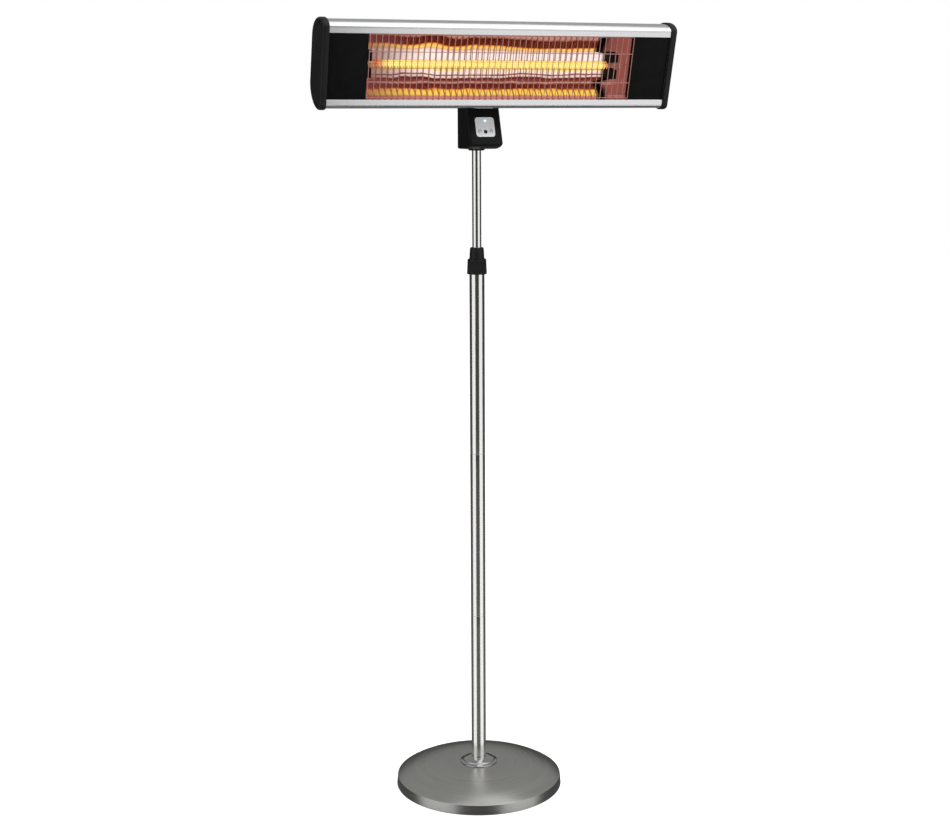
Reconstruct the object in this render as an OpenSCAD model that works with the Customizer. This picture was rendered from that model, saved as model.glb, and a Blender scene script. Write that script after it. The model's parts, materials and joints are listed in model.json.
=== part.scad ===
// Free-standing electric infrared patio heater.
// A quartz lamp head tilts on a control box, which turns and slides on a weighted pole stand.
// Millimetres, +Z up. The origin is the centre of the base's underside, on the floor.
// The head's long axis runs along X and its radiant face looks towards -Y.

/* [Base] */
// Diameter of the base at the floor
base_d = 365; // [363:1:370]
// Diameter of the base at the top of its rim
base_top_d = 361; // [358:1:362]
// Height of the base's rim
rim_h = 22.5; // [20:0.5:25]
// Height of the base's domed top
dome_h = 50; // [48:0.5:52]
// Thickness of the base's pressed sheet
cover_t = 1.2; // [0.8:0.1:1.4]

/* [Pole] */
// Outer diameter of the three pole sections
pole_d = 32; // [31.8:0.1:32]
// Wall thickness of the pole sections
pole_t = 1.2; // [1.1:0.1:1.3]
// Height of the lower pole joint
joint_1_z = 389; // [370:1:410]
// Height of the upper pole joint
joint_2_z = 750; // [730:1:755]
// Outer diameter of the telescopic inner tube
inner_d = 19; // [18.9:0.05:19]
// Height of the inner tube's lower end
inner_low_z = 986; // [986:1:990]

/* [Clamp collar] */
// Height of the collar nut's lower edge
collar_low_z = 1135.5; // [1134:0.5:1136]
// Height of the step between the nut and the cone
collar_step_z = 1167.5; // [1165:0.5:1168]
// Height of the cone's top
collar_top_z = 1191.5; // [1189:0.5:1192]
// Diameter of the collar nut at its lower edge
nut_low_d = 42; // [41:0.5:43]
// Diameter of the collar nut at its upper edge
nut_high_d = 39.5; // [39:0.5:40]

/* [Control box] */
// Width of the control box
box_w = 70.8; // [70:0.2:72]
// Height of the control box's underside
box_low_z = 1395.5; // [1395:0.5:1396]
// Height of the control box's top
box_top_z = 1500; // [1499.5:0.5:1500]
// Distance from the pole's axis to the box's back
box_back = 19; // [19:0.5:20]
// Wall thickness of the box's shells
box_t = 2.2; // [2:0.1:2.4]
// Width and height of the control plate
plate_w = 41; // [40:0.5:42]

/* [Head] */
// Length of the head between its end caps
head_l = 712; // [700:2:720]
// Width of the lamp window
window_w = 554; // [554:1:556]
// Height of the lamp window
window_h = 127.2; // [124:0.2:128]
// Wall thickness of the housing extrusion
housing_t = 1.8; // [1.6:0.1:1.8]
// Thickness of each end cap
cap_t = 13; // [12:0.5:14]
// How far each end cap stands proud of the housing all round
cap_lip = 3; // [2:0.5:3]
// Downward tilt of the head at rest
tilt = 15; // [15:1:15]
// Number of upright wires in the guard
wire_count = 46; // [30:1:46]

/* [Hidden] */
$fn = 96;

eps = 0.05;                     // running clearance of sliding and turning fits
steel = [0.72, 0.72, 0.73];
black = [0.07, 0.07, 0.08];

// Base
base_r = base_d / 2;
rim_r = base_top_d / 2;
flange_r = 41;                  // flat seat of the flange cover
dome_power = 3.2;               // how late the dome falls to the rim
rim_low_z = 1.2;
foot_z = 2.5;                   // top of the rubber foot ring
plate_z = 4;                    // top of the bottom plate
weight_z = 22;                  // top of the cast weight
flange_h = 10.5;                // height of the flange cover

// Pole and collar
pole_r = pole_d / 2;
pole_bore_r = pole_r - pole_t;
pole_top_z = collar_step_z - 3.3;
inner_r = inner_d / 2;
inner_bore_r = inner_r - 1.2;
inner_top_z = box_top_z - 4;
bush_low_z = inner_low_z + 3;
bush_h = 30;
sleeve_r = 17.9;
collet_r = 12;

// Control box
face_lean = atan(1 / 3);
face_foot = [-63, 1407];        // foot of the leaning front face, as [y, z]
face_mid = [-52, 1440];         // middle of the control plate, as [y, z]
box_round = 5;
split_y = -8;                   // joint plane of the two shells
boss_h = 3.5;                   // boss under the box, round the tube
screw_x = 29;
screw_zs = [1412, 1484];
button_v = -9.5;                // button's place along the face, from the plate's middle
lens_x = 1;
lens_v = 13.7;
power_gland_z = 1425;
lead_gland_z = 1478;

// Head
face_y = -158;                  // middle of the head's front face
face_z = 1555;
half_window = window_h / 2;
front_flat = half_window + 11.2; // half height of the flat part of the front
head_half_h = front_flat + 10;
brow_depth = 22;
rear_half_flat = 44.5;
head_depth = 78;
housing_half = head_l / 2 - 0.8;
port_y = 24;                    // screw ports of the housing
port_z = 78.5;
head_port_z = 34;               // height of the head's lead gland up its back
lamp_y = 28;
lamp_x0 = -262;
lamp_x1 = 234;
lamp_r = 9;
holder_l = 20;                  // length of each lamp holder
holder_half = 26;               // half height of each lamp holder
reflector_front = 10;
reflector_back = 47;
reflector_folds = [             // bends of the pressed reflector, as [depth, height]
    [reflector_front, -57], [21.8, -48.2], [41, -43], [41, -39.5],
    [reflector_back, -31], [reflector_back, 26], [29, 57], [reflector_front, 59.5]];
guard_half = half_window - 0.5;
guard_x = 275.5;
cross_z = 29.1;                 // height of the guard's two cross wires
wire = 1.6;

// Tilt pivot
pivot_y = -46;
pivot_z = 1545;
pivot_r = 4;
ear_r = 10;
ear_x = 24;                     // inner face of the yoke's ears
bracket_x = 20.5;               // inner face of the head bracket's ears
sheet = 2.5;
pivot_local = [
    (pivot_y - face_y) * cos(tilt) + (pivot_z - face_z) * sin(tilt),
    (pivot_z - face_z) * cos(tilt) - (pivot_y - face_y) * sin(tilt)];

// ---- helpers ----

// Points on an elliptical arc
function arc(cy, cz, ry, rz, a0, a1, n) =
    [for (i = [0:n]) let (a = a0 + (a1 - a0) * i / n) [cy + ry * cos(a), cz + rz * sin(a)]];

// The same points in the other order
function backwards(p) = [for (i = [len(p) - 1:-1:0]) p[i]];

// The same points, mirrored across the head's middle plane
function flipped(p) = [for (q = p) [q[0], -q[1]]];

// Point on a cubic curve
function curve(p0, p1, p2, p3, t) =
    pow(1 - t, 3) * p0 + 3 * pow(1 - t, 2) * t * p1 + 3 * (1 - t) * t * t * p2 + t * t * t * p3;

// Height of the base cover at a radius
function cover_z(r) =
    dome_h - (dome_h - rim_h) * pow(max(r - flange_r, 0) / (rim_r - flange_r), dome_power);

// Upper half of the head's outline, set in by i, from the front to the middle of the back
function upper_outline(i) = concat(
    arc(brow_depth, front_flat, brow_depth - i, head_half_h - front_flat - i, 180, 90, 8),
    [for (k = [1:12]) arc(brow_depth, rear_half_flat, head_depth - brow_depth - i,
                          head_half_h - rear_half_flat - i, 90, 0, 12)[k]]);

// Whole outline of the head, set in by i
function head_outline(i) = concat(upper_outline(i), backwards(flipped(upper_outline(i))));

// Side outline of the control box, set in by i
function box_outline(i) = concat(
    arc(box_back - 4, box_low_z + 4, 4 - i, 4 - i, -90, 0, 3),
    arc(box_back - 6, box_top_z - 6, 6 - i, 6 - i, 0, 90, 4),
    arc(-26.2, box_top_z - 8, 8 - i, 8 - i, 90, 180 - face_lean, 4),
    [for (k = [0:6]) curve([face_foot[0] + i, face_foot[1] + i / 3],
                           [face_foot[0] - 1.6 + i, face_foot[1] - 5 + i],
                           [-48, box_low_z + 1 + i], [-29, box_low_z + i], k / 6)]);

// A side outline carried along X
module along_x(x0, x1) {
    translate([x0, 0, 0]) rotate([90, 0, 90]) linear_extrude(x1 - x0) children();
}

// A tube on the Z axis
module tube(r_out, r_in, z0, z1) {
    translate([0, 0, z0]) rotate_extrude() translate([r_in, 0]) square([r_out - r_in, z1 - z0]);
}

// A pole section with chamfered ends
module pole_section(z0, z1) {
    c = 0.4;
    color(steel) rotate_extrude() polygon([[pole_bore_r, z0], [pole_r - c, z0], [pole_r, z0 + c],
        [pole_r, z1 - c], [pole_r - c, z1], [pole_bore_r, z1]]);
}

module x_rod(r, x0, x1, y, z) {
    translate([x0, y, z]) rotate([0, 90, 0]) cylinder(r = r, h = x1 - x0);
}

module y_rod(r, y0, y1, x, z) {
    translate([x, y0, z]) rotate([-90, 0, 0]) cylinder(r = r, h = y1 - y0);
}

// Places children in the head's own frame: y back from the front face, z up the face
module in_head() {
    translate([0, face_y, face_z]) rotate([tilt, 0, 0]) children();
}

// Places children on the control face: -y out of the face, z up the face
module on_face() {
    translate([0, face_mid[0], face_mid[1]]) rotate([-face_lean, 0, 0]) children();
}

// Solid of the control box with rounded edges, set in by i
module box_solid(i) {
    hull() for (a = [0:22.5:90]) let (half = box_w / 2 - i - box_round * (1 - sin(a)))
        along_x(-half, half) polygon(box_outline(i + box_round * (1 - cos(a)) * 0.6));
}

// ---- stand ----

module foot_ring() {
    color(black) tube(176, 150, 0, foot_z);
}

module base_plate() {
    color("dimgray") tube(rim_r, 18, foot_z, plate_z);
}

module base_weight() {
    color("dimgray") rotate_extrude() polygon([[18, plate_z], [172, plate_z], [172, weight_z - 3],
        [169, weight_z], [8, weight_z], [8, 14], [18, 14]]);
}

module base_spacer() {
    color(steel) tube(30, 8, weight_z, dome_h - cover_t);
}

module base_cover() {
    dome = [for (k = [0:20]) flange_r + (rim_r - flange_r) * k / 20];
    outer = [for (r = concat([8], dome)) [r, cover_z(r)]];
    inner = [for (r = concat([8], dome)) [r == 8 ? 8 : r - cover_t, cover_z(r) - cover_t]];
    color(steel) rotate_extrude() polygon(concat(outer,
        [[base_r, rim_low_z + 1], [base_r - 1, rim_low_z], [rim_r + 0.2, rim_low_z],
         [rim_r + 0.2, plate_z + 0.5]], backwards(inner)));
}

module tie_bolt() {
    color(steel) {
        translate([0, 0, 5]) cylinder(r = 13, h = 9, $fn = 6);
        translate([0, 0, 13.5]) cylinder(r = 6.9, h = 62);
    }
}

module flange_cover() {
    z = dome_h;
    color([0.8, 0.8, 0.82]) rotate_extrude() polygon(concat(
        [[pole_r + 0.1, z], [flange_r, z], [flange_r, z + 1.6], [flange_r - 0.8, z + 2.6]],
        [[34.8, z + 4.4], [34, z + 5.6]],
        [for (k = [0:6]) let (t = k / 6) [33 - 15.5 * t, z + 6.6 + (flange_h - 6.6) * sin(90 * t)]],
        [[pole_r + 0.1, z + flange_h]]));
}

module foot_insert() {
    color("dimgray") tube(pole_bore_r - eps, 7, dome_h, 82);
}

module pole_lower() {
    pole_section(dome_h, joint_1_z - 0.3);
}

module pole_middle() {
    pole_section(joint_1_z, joint_2_z - 0.3);
}

module pole_upper() {
    pole_section(joint_2_z, pole_top_z);
}

module pole_couplers() {
    color("dimgray") for (z = [joint_1_z, joint_2_z]) tube(pole_bore_r - eps, 11, z - 30, z + 30);
}

module collet_housing() {
    color(black) rotate_extrude() polygon([
        [pole_r + eps, collar_low_z + 2], [sleeve_r, collar_low_z + 2],
        [sleeve_r, pole_top_z], [pole_r, pole_top_z], [pole_r, collar_step_z],
        [14.4, collar_top_z - 1.2], [13.4, collar_top_z], [inner_r + 0.3, collar_top_z],
        [inner_r + 0.3, collar_top_z - 4], [collet_r, collar_top_z - 4],
        [collet_r, pole_top_z + eps], [pole_r + eps, pole_top_z + eps]]);
}

module collet() {
    low = collar_low_z - 6;
    color("ivory") difference() {
        rotate_extrude() polygon([[inner_r + eps, low], [pole_bore_r - 0.2, low],
            [pole_bore_r - 0.2, low + 12], [collet_r - 0.1, low + 12],
            [collet_r - 0.1, collar_top_z - 5], [inner_r + eps, collar_top_z - 5]]);
        for (a = [0, 90]) rotate([0, 0, a]) translate([-20, -0.6, low + 18]) cube([40, 1.2, 60]);
    }
}

module collar_nut() {
    rib_count = 28;
    groove_r = nut_high_d / 2 - 0.5;
    color(black) difference() {
        rotate_extrude() polygon([[sleeve_r + eps, collar_low_z],
            [nut_low_d / 2 - 1, collar_low_z], [nut_low_d / 2, collar_low_z + 1],
            [nut_high_d / 2, collar_step_z - 1], [nut_high_d / 2 - 1, collar_step_z],
            [pole_r + 0.3, collar_step_z], [pole_r + 0.3, pole_top_z + 0.3],
            [sleeve_r + eps, pole_top_z + 0.3]]);
        for (k = [0:rib_count - 1]) rotate([0, 0, k * 360 / rib_count])
            translate([groove_r, -1, collar_low_z + 4]) cube([5, 2, 24]);
    }
}

// ---- telescopic mast ----

module guide_bush() {
    color("ivory") tube(pole_bore_r - eps, inner_r + eps, bush_low_z + 0.1, bush_low_z + bush_h);
}

module inner_tube() {
    color(steel) tube(inner_r, inner_bore_r, inner_low_z, inner_top_z);
}

module tube_end_cap() {
    color(black) {
        translate([0, 0, inner_low_z - 3]) cylinder(r = 13, h = 3);
        tube(13, inner_r + 0.02, inner_low_z, bush_low_z);
        translate([0, 0, inner_low_z]) cylinder(r = inner_bore_r - 0.02, h = 16);
    }
}

module retaining_ring() {
    z = bush_low_z + bush_h + 0.2;
    color("dimgray") difference() {
        tube(12.5, inner_r, z, z + 1.5);
        translate([6, -2, z - 1]) cube([10, 4, 4]);
    }
}

module tube_top_insert() {
    color(steel) tube(inner_bore_r - 0.02, 3.4, inner_top_z - 32, inner_top_z);
}

// ---- control box ----

module box_front_shell() {
    color(black) difference() {
        intersection() {
            union() {
                difference() {
                    box_solid(0);
                    box_solid(box_t);
                }
                intersection() {
                    box_solid(1);
                    for (x = [-screw_x, screw_x], z = screw_zs) y_rod(3.4, -70, split_y, x, z);
                }
            }
            translate([-50, -90, box_low_z - 5]) cube([100, 90 + split_y, 120]);
        }
        for (x = [-screw_x, screw_x], z = screw_zs) y_rod(1.4, -16, split_y + 1, x, z);
        translate([0, 0, box_low_z - 10]) cylinder(r = inner_r + 0.2, h = 30);
        on_face() y_rod(4.1, -3, 6, 0, button_v);
        on_face() y_rod(2.5, -3, 6, lens_x, lens_v);
    }
}

module box_rear_shell() {
    color(black) {
        difference() {
            intersection() {
                difference() {
                    box_solid(0);
                    box_solid(box_t);
                }
                translate([-50, split_y, box_low_z - 5]) cube([100, 60, 120]);
            }
            for (x = [-screw_x, screw_x], z = screw_zs) y_rod(1.7, 0, 30, x, z);
            translate([0, 0, box_low_z - 10]) cylinder(r = inner_r + 0.2, h = 30);
            translate([0, 0, box_top_z - 10]) cylinder(r = 4.2, h = 30);
            y_rod(8.1, 10, 30, 0, power_gland_z);
            y_rod(6.1, 10, 30, 0, lead_gland_z);
        }
        difference() {
            tube(17.5, inner_r + 0.2, box_low_z - boss_h, box_low_z + 0.1);
            translate([-20, split_y - 20, box_low_z]) cube([40, 20, 1]);
        }
    }
}

module box_screws() {
    color("dimgray") for (x = [-screw_x, screw_x], z = screw_zs) {
        y_rod(3, box_back, box_back + 1.6, x, z);
        y_rod(1.35, -14, box_back + 0.5, x, z);
    }
}

module control_plate() {
    r = 6;
    h = plate_w / 2;
    corner = concat(arc(h - r, h - r, r, r, 0, 90, 8), arc(r - h, h - r, r, r, 90, 180, 8),
                    arc(r - h, r - h, r, r, 180, 270, 8), arc(h - r, r - h, r, r, 270, 360, 8));
    color([0.75, 0.76, 0.78]) on_face() difference() {
        rotate([90, 0, 0]) linear_extrude(0.8) polygon(corner);
        y_rod(4.1, -3, 3, 0, button_v);
        y_rod(2.5, -3, 3, lens_x, lens_v);
    }
}

module led_lens() {
    color([0.75, 0.85, 1]) on_face() union() {
        y_rod(2.4, -1.1, 3.4, lens_x, lens_v);
        y_rod(3.4, 3, 4.4, lens_x, lens_v);
    }
}

module power_button() {
    color(black) on_face() union() {
        y_rod(3.8, -1.9, 5.6, 0, button_v);
        y_rod(5, 3, 4.4, 0, button_v);
    }
}

module touch_switch() {
    color("dimgray") on_face() union() {
        translate([-3, 8.2, button_v - 3]) cube([6, 2.2, 6]);
        y_rod(1.7, 7, 8.3, 0, button_v);
    }
}

module circuit_board() {
    color("darkgreen") on_face() translate([-24, 10.4, -33]) cube([48, 1.6, 66]);
}

module power_relay() {
    color("steelblue") on_face() translate([-20, 12, -4]) cube([19, 13, 27]);
}

module infrared_receiver() {
    color(black) on_face() union() {
        translate([lens_x - 3, 8.4, lens_v - 3.5]) cube([6, 2, 7]);
        translate([lens_x, 8.1, lens_v]) sphere(r = 2.2);
    }
}

module tip_switch() {
    color("dimgray") translate([inner_r + 1, -4, box_low_z + 4.5]) cube([15, 16, 20]);
}

module cable_gland() {
    z = power_gland_z;
    color(black) difference() {
        union() {
            y_rod(8, 11, box_back + 0.5, 0, z);
            y_rod(10.5, 12.6, 16.6, 0, z);
            translate([0, box_back, z]) rotate([-90, 0, 0]) cylinder(r = 11.5, h = 6, $fn = 6);
            y_rod(9.2, box_back + 5.5, box_back + 12, 0, z);
            translate([0, box_back + 11.9, z]) rotate([-90, 0, 0]) cylinder(r1 = 9.2, r2 = 6.6, h = 3.1);
        }
        y_rod(5.2, 5, box_back, 0, z);
        y_rod(4.25, box_back - 1, box_back + 20, 0, z);
    }
}

module lead_gland() {
    z = lead_gland_z;
    color(black) difference() {
        union() {
            y_rod(6, 14, box_back + 0.5, 0, z);
            translate([0, box_back, z]) rotate([-90, 0, 0]) cylinder(r = 8.5, h = 5, $fn = 6);
            y_rod(6.6, box_back + 4.5, box_back + 11, 0, z);
        }
        y_rod(3.6, 10, 45, 0, z);
    }
}

// The short flexible lead from the box to the head, swept along one smooth curve
module head_lead() {
    rings = 28;
    sides = 12;
    r = 3.5;
    out = [cos(tilt), sin(tilt)];
    up = [-sin(tilt), cos(tilt)];
    start = [box_back + 12, lead_gland_z];
    stop = [face_y, face_z] + (head_depth + 12) * out + head_port_z * up;
    bend = [for (k = [0:rings - 2]) curve(start, start + [62, 0], stop + 74 * out, stop, k / (rings - 2))];
    path = concat([start - [16, 0]], bend, [stop - 5 * out]);
    points = [for (k = [0:rings]) let (
            step = path[min(k + 1, rings)] - path[max(k - 1, 0)],
            along = step / norm(step))
        for (s = [0:sides - 1]) let (a = 360 * s / sides)
            [r * cos(a), path[k][0] - r * sin(a) * along[1], path[k][1] + r * sin(a) * along[0]]];
    sides_faces = [for (k = [0:rings - 1], s = [0:sides - 1]) let (n = (s + 1) % sides)
        [k * sides + s, k * sides + n, (k + 1) * sides + n, (k + 1) * sides + s]];
    ends = [[for (s = [sides - 1:-1:0]) s], [for (s = [0:sides - 1]) rings * sides + s]];
    color(black) polyhedron(points, concat(sides_faces, ends));
}

// ---- tilt joint ----

// Side outline of one yoke ear
module ear_outline() {
    difference() {
        union() {
            polygon([[-24, box_top_z], [2, box_top_z], [2, box_top_z + 8],
                     [pivot_y + 8.2, pivot_z + 5.8], [pivot_y - 9, pivot_z - 4.4]]);
            translate([pivot_y, pivot_z]) circle(r = ear_r);
        }
        translate([pivot_y, pivot_z]) circle(r = pivot_r + eps);
    }
}

module yoke() {
    color("dimgray") difference() {
        union() {
            for (x = [-ear_x - sheet, ear_x]) along_x(x, x + sheet) ear_outline();
            translate([-ear_x - 1, -24, box_top_z]) cube([2 * ear_x + 2, 32, sheet]);
        }
        translate([0, 0, box_top_z - 1]) cylinder(r = 4.2, h = 10);
    }
}

module yoke_bolt() {
    z = box_top_z + sheet;
    color(steel) {
        translate([0, 0, z]) cylinder(r = 6.5, h = 5, $fn = 6);
        translate([0, 0, inner_top_z - 20]) cylinder(r = 3.35, h = z + 1 - inner_top_z + 20);
    }
}

module pivot_bolt() {
    color(steel) {
        x_rod(pivot_r, -ear_x - 3, 41, pivot_y, pivot_z);
        x_rod(8, -ear_x - sheet - 3.5, -ear_x - sheet, pivot_y, pivot_z);
    }
}

module pivot_washers() {
    color("ivory") difference() {
        for (x = [-ear_x, ear_x - 0.8]) x_rod(9, x, x + 0.8, pivot_y, pivot_z);
        x_rod(pivot_r + 0.1, -40, 40, pivot_y, pivot_z);
    }
}

module tilt_knob() {
    lobes = 6;
    color(black) difference() {
        union() {
            x_rod(9, 27.2, 31, pivot_y, pivot_z);
            x_rod(16, 31, 43, pivot_y, pivot_z);
        }
        for (k = [0:lobes - 1]) let (a = k * 360 / lobes)
            x_rod(4.6, 30, 45, pivot_y + 18 * cos(a), pivot_z + 18 * sin(a));
        x_rod(pivot_r + eps, 20, 41.5, pivot_y, pivot_z);
    }
}

// Side outline of one head bracket ear
module bracket_outline() {
    p = pivot_local;
    difference() {
        union() {
            polygon([[head_depth + 1, -14], [head_depth + 1, -44], [p[0], p[1] - ear_r],
                     [p[0] + 8, p[1]], [p[0] + 5, p[1] + 8.6]]);
            translate(p) circle(r = ear_r);
        }
        translate(p) circle(r = pivot_r + eps);
    }
}

module head_bracket() {
    color("dimgray") in_head() difference() {
        union() {
            for (x = [-bracket_x - sheet, bracket_x]) along_x(x, x + sheet) bracket_outline();
            translate([-40, head_depth, -44]) cube([80, sheet, 60]);
        }
        for (x = [-32, 32], z = [-36, 8]) y_rod(2.6, head_depth - 1, head_depth + 5, x, z);
    }
}

module bracket_bolts() {
    y = head_depth + sheet;
    color(steel) in_head() for (x = [-32, 32], z = [-36, 8]) {
        translate([x, y, z]) rotate([-90, 0, 0]) cylinder(r = 4.6, h = 3.6, $fn = 6);
        y_rod(2.5, head_depth - 8, y + 0.5, x, z);
    }
}

module pivot_spacer() {
    color(steel) difference() {
        x_rod(7, -bracket_x, bracket_x, pivot_y, pivot_z);
        x_rod(pivot_r + eps, -bracket_x - 1, bracket_x + 1, pivot_y, pivot_z);
    }
}

module head_gland() {
    y = head_depth;
    color(black) in_head() difference() {
        union() {
            y_rod(6, y - 6, y + 0.5, 0, head_port_z);
            translate([0, y, head_port_z]) rotate([-90, 0, 0]) cylinder(r = 8.5, h = 5, $fn = 6);
            y_rod(6.6, y + 4.5, y + 11, 0, head_port_z);
        }
        y_rod(3.6, y - 10, y + 20, 0, head_port_z);
    }
}

// ---- head ----

module housing() {
    i = housing_t;
    section = concat([[0, half_window]], head_outline(0), [[0, -half_window], [i, -half_window]],
                     backwards(head_outline(i)), [[i, half_window]]);
    color([0.78, 0.78, 0.8]) in_head() difference() {
        union() {
            along_x(-housing_half, housing_half) polygon(section);
            for (z = [-port_z, port_z]) x_rod(4.6, -housing_half, housing_half, port_y, z);
        }
        for (z = [-port_z, port_z]) x_rod(1.9, -400, 400, port_y, z);
        for (z = [-front_flat - 1, front_flat]) translate([-400, -1, z]) cube([800, 1.5, 1]);
        for (x = [-32, 32], z = [-36, 8]) y_rod(2.6, 70, 80, x, z);
        y_rod(6.1, 70, 80, 0, head_port_z);
    }
}

module end_cap() {
    x0 = head_l / 2;
    difference() {
        hull() {
            along_x(x0, x0 + cap_t - 4.5) polygon(head_outline(-cap_lip));
            along_x(x0, x0 + cap_t - 1.3) polygon(head_outline(-cap_lip + 1.3));
            along_x(x0, x0 + cap_t) polygon(head_outline(-cap_lip + 4));
        }
        along_x(x0 - 1, x0 + cap_t - 3) polygon(head_outline(10));
        for (z = [-port_z, port_z]) {
            x_rod(2.1, x0 - 1, x0 + 20, port_y, z);
            x_rod(4, x0 + cap_t - 1.5, x0 + 20, port_y, z);
        }
    }
}

module end_cap_left() {
    color(black) in_head() mirror([1, 0, 0]) end_cap();
}

module end_cap_right() {
    color(black) in_head() end_cap();
}

module cap_gaskets() {
    color(black) in_head() for (x = [-head_l / 2, housing_half]) difference() {
        along_x(x, x + 0.8) polygon(head_outline(0.4));
        along_x(x - 1, x + 2) polygon(head_outline(9));
        for (z = [-port_z, port_z]) x_rod(2.1, x - 1, x + 2, port_y, z);
    }
}

module cap_screws() {
    head_x = head_l / 2 + cap_t - 1.5;
    color("dimgray") in_head() for (side = [0, 1], z = [-port_z, port_z]) mirror([side, 0, 0]) {
        x_rod(3.6, head_x, head_x + 1.3, port_y, z);
        x_rod(1.8, head_l / 2 - 14, head_x + 0.5, port_y, z);
    }
}

module side_panel() {
    x0 = window_w / 2 + 0.4;
    color(black) in_head() {
        translate([x0, housing_t, -66]) cube([housing_half - x0 - 0.2, 2, 132]);
        translate([x0, housing_t + 1.9, -58]) cube([2, 10, 116]);
    }
}

module side_panel_left() {
    mirror([1, 0, 0]) side_panel();
}

module side_panel_right() {
    side_panel();
}

module reflector() {
    t = 0.8;
    flange = 70;
    back = [for (p = reflector_folds) [p[0] + t, p[1] + t * sign(p[1])]];
    color([0.85, 0.8, 0.75]) in_head() along_x(-276, 276) polygon(concat(
        [[reflector_front, -flange]], reflector_folds,
        [[reflector_front, flange], [reflector_front + t, flange]],
        backwards(back), [[reflector_front + t, -flange]]));
}

module reflector_ends() {
    color([0.6, 0.4, 0.35]) in_head() difference() {
        for (x = [-276.9, 276.1]) translate([x, 14, -57]) cube([0.8, 40, 114]);
        translate([-280, lamp_y - 12, -holder_half - 2])
            cube([8, reflector_back - lamp_y + 13, 2 * holder_half + 4]);
        x_rod(4, 270, 290, lamp_y, 0);
    }
}

module lamp_tube() {
    color([1, 0.8, 0.4, 0.4]) in_head() difference() {
        x_rod(lamp_r, lamp_x0 - 9, lamp_x1 + 9, lamp_y, 0);
        x_rod(lamp_r - 1.2, lamp_x0 - 10, lamp_x1 + 10, lamp_y, 0);
    }
}

module lamp_filament() {
    color("orange") in_head() x_rod(4.5, lamp_x0 + 8, lamp_x1, lamp_y, 0);
}

module lamp_holders() {
    deep = 20;
    color([0.15, 0.13, 0.12]) in_head() difference() {
        for (x = [lamp_x0 - holder_l - 2, lamp_x1]) {
            translate([x, lamp_y - deep / 2, -holder_half]) cube([holder_l, deep, 2 * holder_half]);
            translate([x + 3, lamp_y + deep / 2 - 1, -6])
                cube([holder_l - 6, reflector_back - lamp_y - 9.2, 12]);
        }
        x_rod(lamp_r + 0.1, lamp_x0 - 10, lamp_x1 + 10, lamp_y, 0);
        x_rod(2, lamp_x0 - 30, lamp_x1 + 30, lamp_y, 0);
    }
}

module lamp_leads() {
    color("ivory") in_head() {
        x_rod(1.8, lamp_x0 - 29, lamp_x0 - 11, lamp_y, 0);
        x_rod(1.8, lamp_x1 + 11, 318, lamp_y, 0);
    }
}

module wire_guard() {
    front = -1.2;
    depth = 10;
    color(steel) in_head() {
        for (k = [0:wire_count - 1]) let (x = -guard_x + 2 * guard_x * k / (wire_count - 1) - wire / 2)
            along_x(x, x + wire) polygon([[front, -guard_half], [front, guard_half],
                [front + depth, guard_half], [front + depth, guard_half - wire],
                [front + wire, guard_half - wire], [front + wire, wire - guard_half],
                [front + depth, wire - guard_half], [front + depth, -guard_half]]);
        for (z = [-cross_z, cross_z])
            translate([-guard_x - 0.5, front + wire - 0.3, z - wire / 2])
                cube([2 * guard_x + 1, wire, wire]);
        for (z = [-guard_half + wire - 0.3, guard_half - 2 * wire + 0.3])
            translate([-guard_x - 0.5, front + depth - 2 * wire, z]) cube([2 * guard_x + 1, wire, wire]);
    }
}

module heat_shield() {
    color(steel) in_head() translate([-270, 58, -52]) cube([540, 0.8, 104]);
}

module thermal_cutout() {
    color("ivory") in_head() y_rod(9, reflector_back + 0.9, reflector_back + 7, 100, 0);
}

module terminal_block() {
    color("ivory") in_head() translate([-336, 18, -14]) cube([44, 20, 28]);
}

// ---- the assembly ----

foot_ring();
base_plate();
base_weight();
base_spacer();
base_cover();
tie_bolt();
flange_cover();
foot_insert();
pole_lower();
pole_middle();
pole_upper();
pole_couplers();
collet_housing();
collet();
collar_nut();
guide_bush();
inner_tube();
tube_end_cap();
retaining_ring();
tube_top_insert();
box_front_shell();
box_rear_shell();
box_screws();
control_plate();
led_lens();
power_button();
touch_switch();
circuit_board();
power_relay();
infrared_receiver();
tip_switch();
cable_gland();
lead_gland();
head_lead();
yoke();
yoke_bolt();
pivot_bolt();
pivot_washers();
tilt_knob();
head_bracket();
bracket_bolts();
pivot_spacer();
head_gland();
housing();
end_cap_left();
end_cap_right();
cap_gaskets();
cap_screws();
side_panel_left();
side_panel_right();
reflector();
reflector_ends();
lamp_tube();
lamp_filament();
lamp_holders();
lamp_leads();
wire_guard();
heat_shield();
thermal_cutout();
terminal_block();
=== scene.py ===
"""Looks of a free-standing electric patio heater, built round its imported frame."""

import json
import math

import bmesh
import bpy
from bpy.props import FloatProperty, FloatVectorProperty, IntProperty, PointerProperty
from mathutils import Matrix, Vector


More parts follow.
